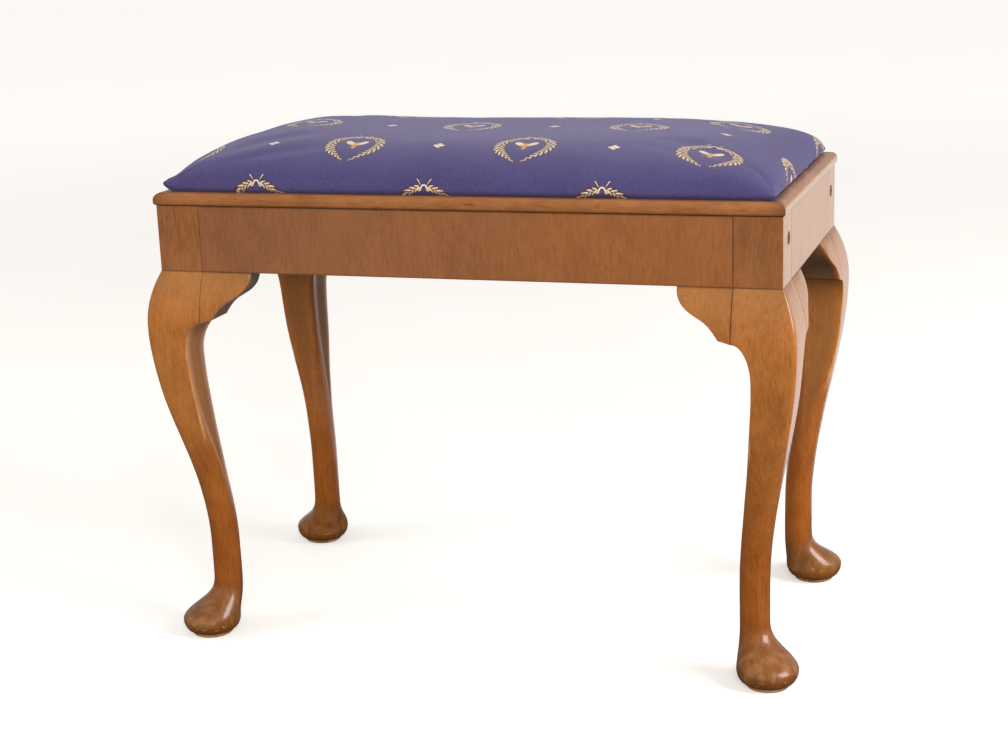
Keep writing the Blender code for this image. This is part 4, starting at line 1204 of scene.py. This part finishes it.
marks = {"Cream": "Float", "Tan": "Float", "Gold": "Float", "Outline": "Float"}
pattern, given, made = new_group("wreath pattern", {"Place": "Vector"}, marks)
place = given["Place"]
ragged = cloud(place, (900, 900, 0), 1.0) * 0.7
run_x, run_y, _ = parts_of(vector_math(place, (1000.0, 1000.0, 0.0), "MULTIPLY"))
pulled = run_y.rise(-30.0, -66.0) * 6.0 - run_y.rise(-127.0, -143.0) * 8.5 + run_y.rise(30.0, 60.0) * 3.0
askew = (run_x + run_y * 0.75).rise(125.0, 265.0) * 56.0
stretched = run_x.rise(130.0, 290.0) * 8.5
run_x, run_y = run_x - stretched + ragged, run_y + pulled + askew + ragged
row = ((run_y - FIRST_WREATH[1]) / ROW_PITCH).math("ROUND")
q = run_y - FIRST_WREATH[1] - row * ROW_PITCH
odd = abs(row.math("MODULO", 2.0))
from_wreath = run_x - FIRST_WREATH[0] - odd * (COLUMN_PITCH / 2)
p = from_wreath.math("WRAP", COLUMN_PITCH / 2, -COLUMN_PITCH / 2)
rosette_p = (from_wreath + COLUMN_PITCH / 2).math("WRAP", COLUMN_PITCH / 2, -COLUMN_PITCH / 2)
side = abs(p)

# Each arm follows a circle from the top, then runs straight to its tip near the bottom.
SLANT = math.sqrt(0.5)
past_bend = (side + q) * -SLANT
straight = past_bend.math("GREATER_THAN", 0.0)
turn = side.math("ARCTAN2", q).math("MINIMUM", math.pi * 0.75)
stem_run = turn * WREATH_RADIUS + past_bend.most(0.0)
off_stem = straight * ((side - q) * SLANT) + (1 - straight) * distance(p, q) - WREATH_RADIUS
off = abs(off_stem)
outer = off_stem.math("GREATER_THAN", 0.0)
reach = (stem_run.rise(4.0, 34.0) * 0.38 + 0.62) * (stem_run.rise(73.0, 44.0) * 0.8 + 0.2) * LEAF_REACH
arm = stem_run.rise(4.0, 5.0) * stem_run.rise(73.0, 71.5)
pitch = LEAF_PITCH - 1.4 * stem_run.rise(26.0, 16.0)
leaf_run = ((stem_run - off * 1.1) / pitch + outer * 0.5).math("FRACT")
across_leaf = abs(leaf_run * 2.0 - 1.0)
out = off / reach
leaf_form = (1 - out ** 2.2) * (out * 0.8 + 0.52)
leaves = (leaf_form - across_leaf).rise(0.0, 0.22) * arm
out = off / (reach + 0.9)
wide_form = (1 - out ** 2.2) * (out * 0.9 + 0.62) + 0.4
leaf_outline = (wide_form - across_leaf).rise(0.0, 0.3) * arm * out.rise(1.0, 0.9)
shade = leaf_run.rise(0.40, 0.62) * 0.75 + (1 - outer) * 0.25 + across_leaf.rise(0.16, 0.06) * 0.3

# Two curls, two prongs and an arch at the top.
from_curl = abs(distance(side - 4.2, q - 21.2) - 1.2)
curls = (0.8 - from_curl).rise(0.0, 0.5)
prong_along = (side - 3.0) * 0.47 + (q - 25.0) * 0.883
prong_across = abs((side - 3.0) * 0.883 - (q - 25.0) * 0.47 - prong_along * prong_along * 0.015)
prong_span = prong_along.rise(0.0, 0.5) * prong_along.rise(6.6, 6.0)
prongs = (0.4 + prong_along * 0.05 - prong_across).rise(0.0, 0.5) * prong_span
arch = (0.9 - abs(distance(p, q - 22.4) - 2.5)).rise(0.0, 0.5) * q.rise(21.6, 22.4)
prong_outline = (1.6 - prong_across).rise(0.0, 0.6) * prong_span
scroll_outline = (1.7 - from_curl).rise(0.0, 0.6).most(prong_outline)


def oval(x, y, half_width, half_height):
    """1 in the middle of an oval, 0 on its edge."""
    return 1 - (x / half_width) ** 2.0 - (y / half_height) ** 2.0


# The insect: two wings raised in a V, a body with dark bands, and two pairs of legs.
wing_along = (side - 5.4) * 0.72 + (q - 3.6) * 0.69
wing_across = (side - 5.4) * 0.69 - (q - 3.6) * 0.72
wing = oval(wing_along, wing_across, 7.0, wing_along * 0.10 + 3.2)
wings = wing.rise(0.0, 0.22)
veins = (wing_across * 2.6 + wing_along * 0.4).math("SINE").rise(0.3, 0.9) * wings
wing_roots = wings * wing_along.rise(-1.0, -5.0)
abdomen = oval(p, q + 3.4, 2.2, 6.0).rise(0.0, 0.25)
head = (1.9 - distance(p, q - 3.6)).rise(0.0, 0.5)
bands = (q * 2.2).math("SINE").rise(0.3, 0.8) * abdomen
front_leg = (0.6 - abs(q + 1.6 + (side - 1.5) * 0.5)).rise(0.0, 0.4)
back_leg = (0.6 - abs(q + 5.0 + (side - 1.2) * 0.8)).rise(0.0, 0.4)
insect_legs = front_leg.most(back_leg) * (side.rise(1.4, 2.0) * side.rise(6.4, 5.6))
insect_outline = (wing + 0.38).rise(0.0, 0.3).most(oval(p, q + 3.2, 3.0, 7.2).rise(0.0, 0.3))

from_eye = distance(rosette_p, q)
petal_reach = abs(rosette_p * rosette_p - q * q) / (from_eye * from_eye + 0.01) * 2.6 + 2.9
petals = (petal_reach - from_eye).rise(0.0, 0.6)
petal_outline = (petal_reach + 0.9 - from_eye).rise(0.0, 0.7)
eye = (1.6 - from_eye).rise(0.0, 0.5)

put(made["Cream"], leaves.most(curls, prongs, arch, wings, petals))
put(made["Tan"], (leaves * shade).most(veins * 0.7, insect_legs))
put(made["Gold"], abdomen.most(head, eye, wing_roots * 0.8))
put(made["Outline"], leaf_outline.most(scroll_outline, insect_outline, petal_outline, bands))

CLOTH_LIGHT = seen(82, 75, 119)
CLOTH_DARK = seen(57, 50, 93)
sheen = {"Sheen Weight": 0.25, "Sheen Roughness": 0.45, "Sheen Tint": seen(214, 210, 236)}
cover_finish, shader, _ = new_finish("wreath cloth", {**sheen, "Specular IOR Level": 0.3})
place = run_of(shader)
woven = use(weave, place, Threads=COVER_THREADS)
cream, tan, gold, outline = use(pattern, place).values()
thread = woven["Thread"]
dulled = cloud(place, (9, 9, 0))
slubs = cloud(place, (240, 900, 0), 2.0) + cloud(place, (900, 240, 0), 2.0)
ground = tint(thread * 0.7 + slubs * 0.7 + dulled * 0.8 + 0.15, CLOTH_DARK, CLOTH_LIGHT)
leaf_colour = tint(thread * 0.6 + 0.3, seen(206, 184, 146), seen(240, 228, 200))
colour = tint(outline * 0.85, ground, seen(74, 48, 42))
colour = tint(cream * 0.95, colour, leaf_colour)
colour = tint(tan * 0.75, colour, seen(160, 116, 70))
colour = tint(gold * 0.85, colour, seen(200, 148, 80))
relief = woven["Height"] * 0.5 + cream.most(gold) * 0.5
surface(shader, colour, 0.72 + thread * 0.16 - cream * 0.12, relief, 0.00025)

cushion = add_piece("drop_in_cushion", points, faces, cover_finish, sharp=180)
give_run(cushion, places)
rounding = cushion.modifiers.new("rounding", "SUBSURF")
rounding.levels = 1
rounding.render_levels = 1
fit(cushion, "seat", "cover_cloth", "seat_cover", "seat_stuffing")


# Hem tacks
# Small blued tacks hold the turned-in hem of the cover under the seat frame, one every
# 25 mm or so, just inside the rails of the stool.

TACK_SIZES = {"Radius": 0.0028, "Rise": 0.0009}
TACK_LINE = (0.2585, 0.1225)
TACK_SPAN = (0.232, 0.096)
TACK_SLIP = 0.0012
COVER_BOTTOM = 0.4203

tack_finish, shader, place = new_finish("blued tack", {"Metallic": 1.0})
tarnish = cloud(place, 600)
colour = tint(tarnish * 1.5 + 0.5, seen(58, 58, 66), seen(118, 112, 108))
surface(shader, colour, 0.42 + tarnish * 0.4, tarnish + 0.5, 0.0001)

tree, given, made = geometry_tree("hem tacks", TACK_SIZES)
radius, rise = (given[label] for label in TACK_SIZES)
ball = add(tree, "GeometryNodeMeshUVSphere", "Mesh", {"Segments": 12, "Rings": 6, "Radius": radius})
inputs = {"Geometry": ball, "Scale": add_vector(tree, 1.0, 1.0, rise / radius)}
low = add(tree, "GeometryNodeTransform", "Geometry", inputs)
set_on_places(given, made, low, seed=5, turn=math.tau)
places = []
for index, share in enumerate(steps(18, -1.0, 1.0)):
    for out in (-1, 1):
        slip = TACK_SLIP * math.sin(7.3 * index + out)
        spot = (share * TACK_SPAN[0] + slip, out * (TACK_LINE[1] + slip * 0.5), COVER_BOTTOM)
        places.append((spot, (0, 0, -1)))
for index, share in enumerate(steps(8, -1.0, 1.0)):
    for end in (-1, 1):
        slip = TACK_SLIP * math.sin(5.9 * index + end)
        spot = (end * (TACK_LINE[0] + slip * 0.5), share * TACK_SPAN[1] + slip, COVER_BOTTOM)
        places.append((spot, (0, 0, -1)))
tacks = grow("hem_tacks", places, tree, TACK_SIZES, tack_finish)
fit(tacks, "seat", "screw_steel")


# Floor, light and camera
# A wide pale floor that runs into a white studio, a large soft lamp from the right and front,
# weaker ones from the left, low down and above, and one small lamp for the glints on the polish.

FLOOR_HALF = 30.0
LAMP_COLOUR = (1.0, 0.975, 0.945)
AIM = Vector((0.0, 0.0, 0.3))

sockets = {"Specular IOR Level": 0.1, "Emission Color": LAMP_COLOUR}
floor_finish, shader, place = new_finish("pale floor", sockets)
mottle = cloud(place, 3)
colour = tint(mottle + 0.5, seen(222, 220, 216), seen(232, 230, 227))
x, y, _ = parts_of(place)
ray = add_node(place.tree, "ShaderNodeLightPath").outputs
looked_at, mirrored = Field(ray["Is Camera Ray"]), Field(ray["Is Glossy Ray"])
surface(shader, tint(looked_at, seen(92, 90, 88), colour), 0.85 + mottle * 0.1, mottle, 0.0001)
glow = looked_at * (distance(x, y).rise(0.6, 5.0) * 0.27 + 0.42) + mirrored * y.rise(0.2, 0.5)
put(shader.inputs["Emission Strength"], glow)
corners = [(x * FLOOR_HALF, y * FLOOR_HALF, 0.0) for x, y in ((-1, -1), (1, -1), (1, 1), (-1, 1))]
floor = add_piece("pale_floor", corners, [(0, 1, 2, 3)], floor_finish)

world = bpy.data.worlds.new("studio")
bpy.context.scene.world = world
world.use_nodes = True
sky = world.node_tree.nodes["Background"]
put(sky.inputs["Color"], (1.0, 0.985, 0.965))
looked_at = add(world.node_tree, "ShaderNodeLightPath", "Is Camera Ray")
put(sky.inputs["Strength"], looked_at * 0.60 + 0.36)


def add_lamp(name, place, size, power, mirrored=True):
    data = bpy.data.lights.new(name, "AREA")
    data.shape = "RECTANGLE"
    data.size, data.size_y = size
    data.energy = power
    data.color = LAMP_COLOUR
    lamp = bpy.data.objects.new(name, data)
    lamp.location = place
    lamp.rotation_euler = (AIM - Vector(place)).to_track_quat("-Z", "Y").to_euler()
    lamp.visible_glossy = mirrored
    bpy.context.scene.collection.objects.link(lamp)


add_lamp("right_lamp", (2.4, -0.5, 1.45), (1.5, 1.5), 72.0)
add_lamp("front_lamp", (1.0, -2.6, 1.3), (1.2, 1.2), 40.0, mirrored=False)
add_lamp("low_lamp", (-0.7, -2.2, 0.28), (1.2, 0.4), 8.0, mirrored=False)
add_lamp("left_lamp", (-2.2, -1.3, 1.1), (1.2, 1.2), 24.0, mirrored=False)
add_lamp("top_lamp", (0.2, 0.5, 2.4), (1.6, 1.6), 3.5)
add_lamp("glint_lamp", (1.2, -2.4, 2.2), (0.12, 0.12), 5.0)

camera_data = bpy.data.cameras.new("camera")
camera_data.lens = 65.0
camera_data.sensor_width = 36.0
camera_data.clip_end = 200.0
camera = bpy.data.objects.new("camera", camera_data)
camera.location = (0.5280, -1.6116, 0.6810)
camera.rotation_euler = [math.radians(angle) for angle in (75.162, 2.055, 17.870)]
bpy.context.scene.collection.objects.link(camera)
bpy.context.scene.camera = camera
bpy.context.scene.view_settings.view_transform = "Standard"
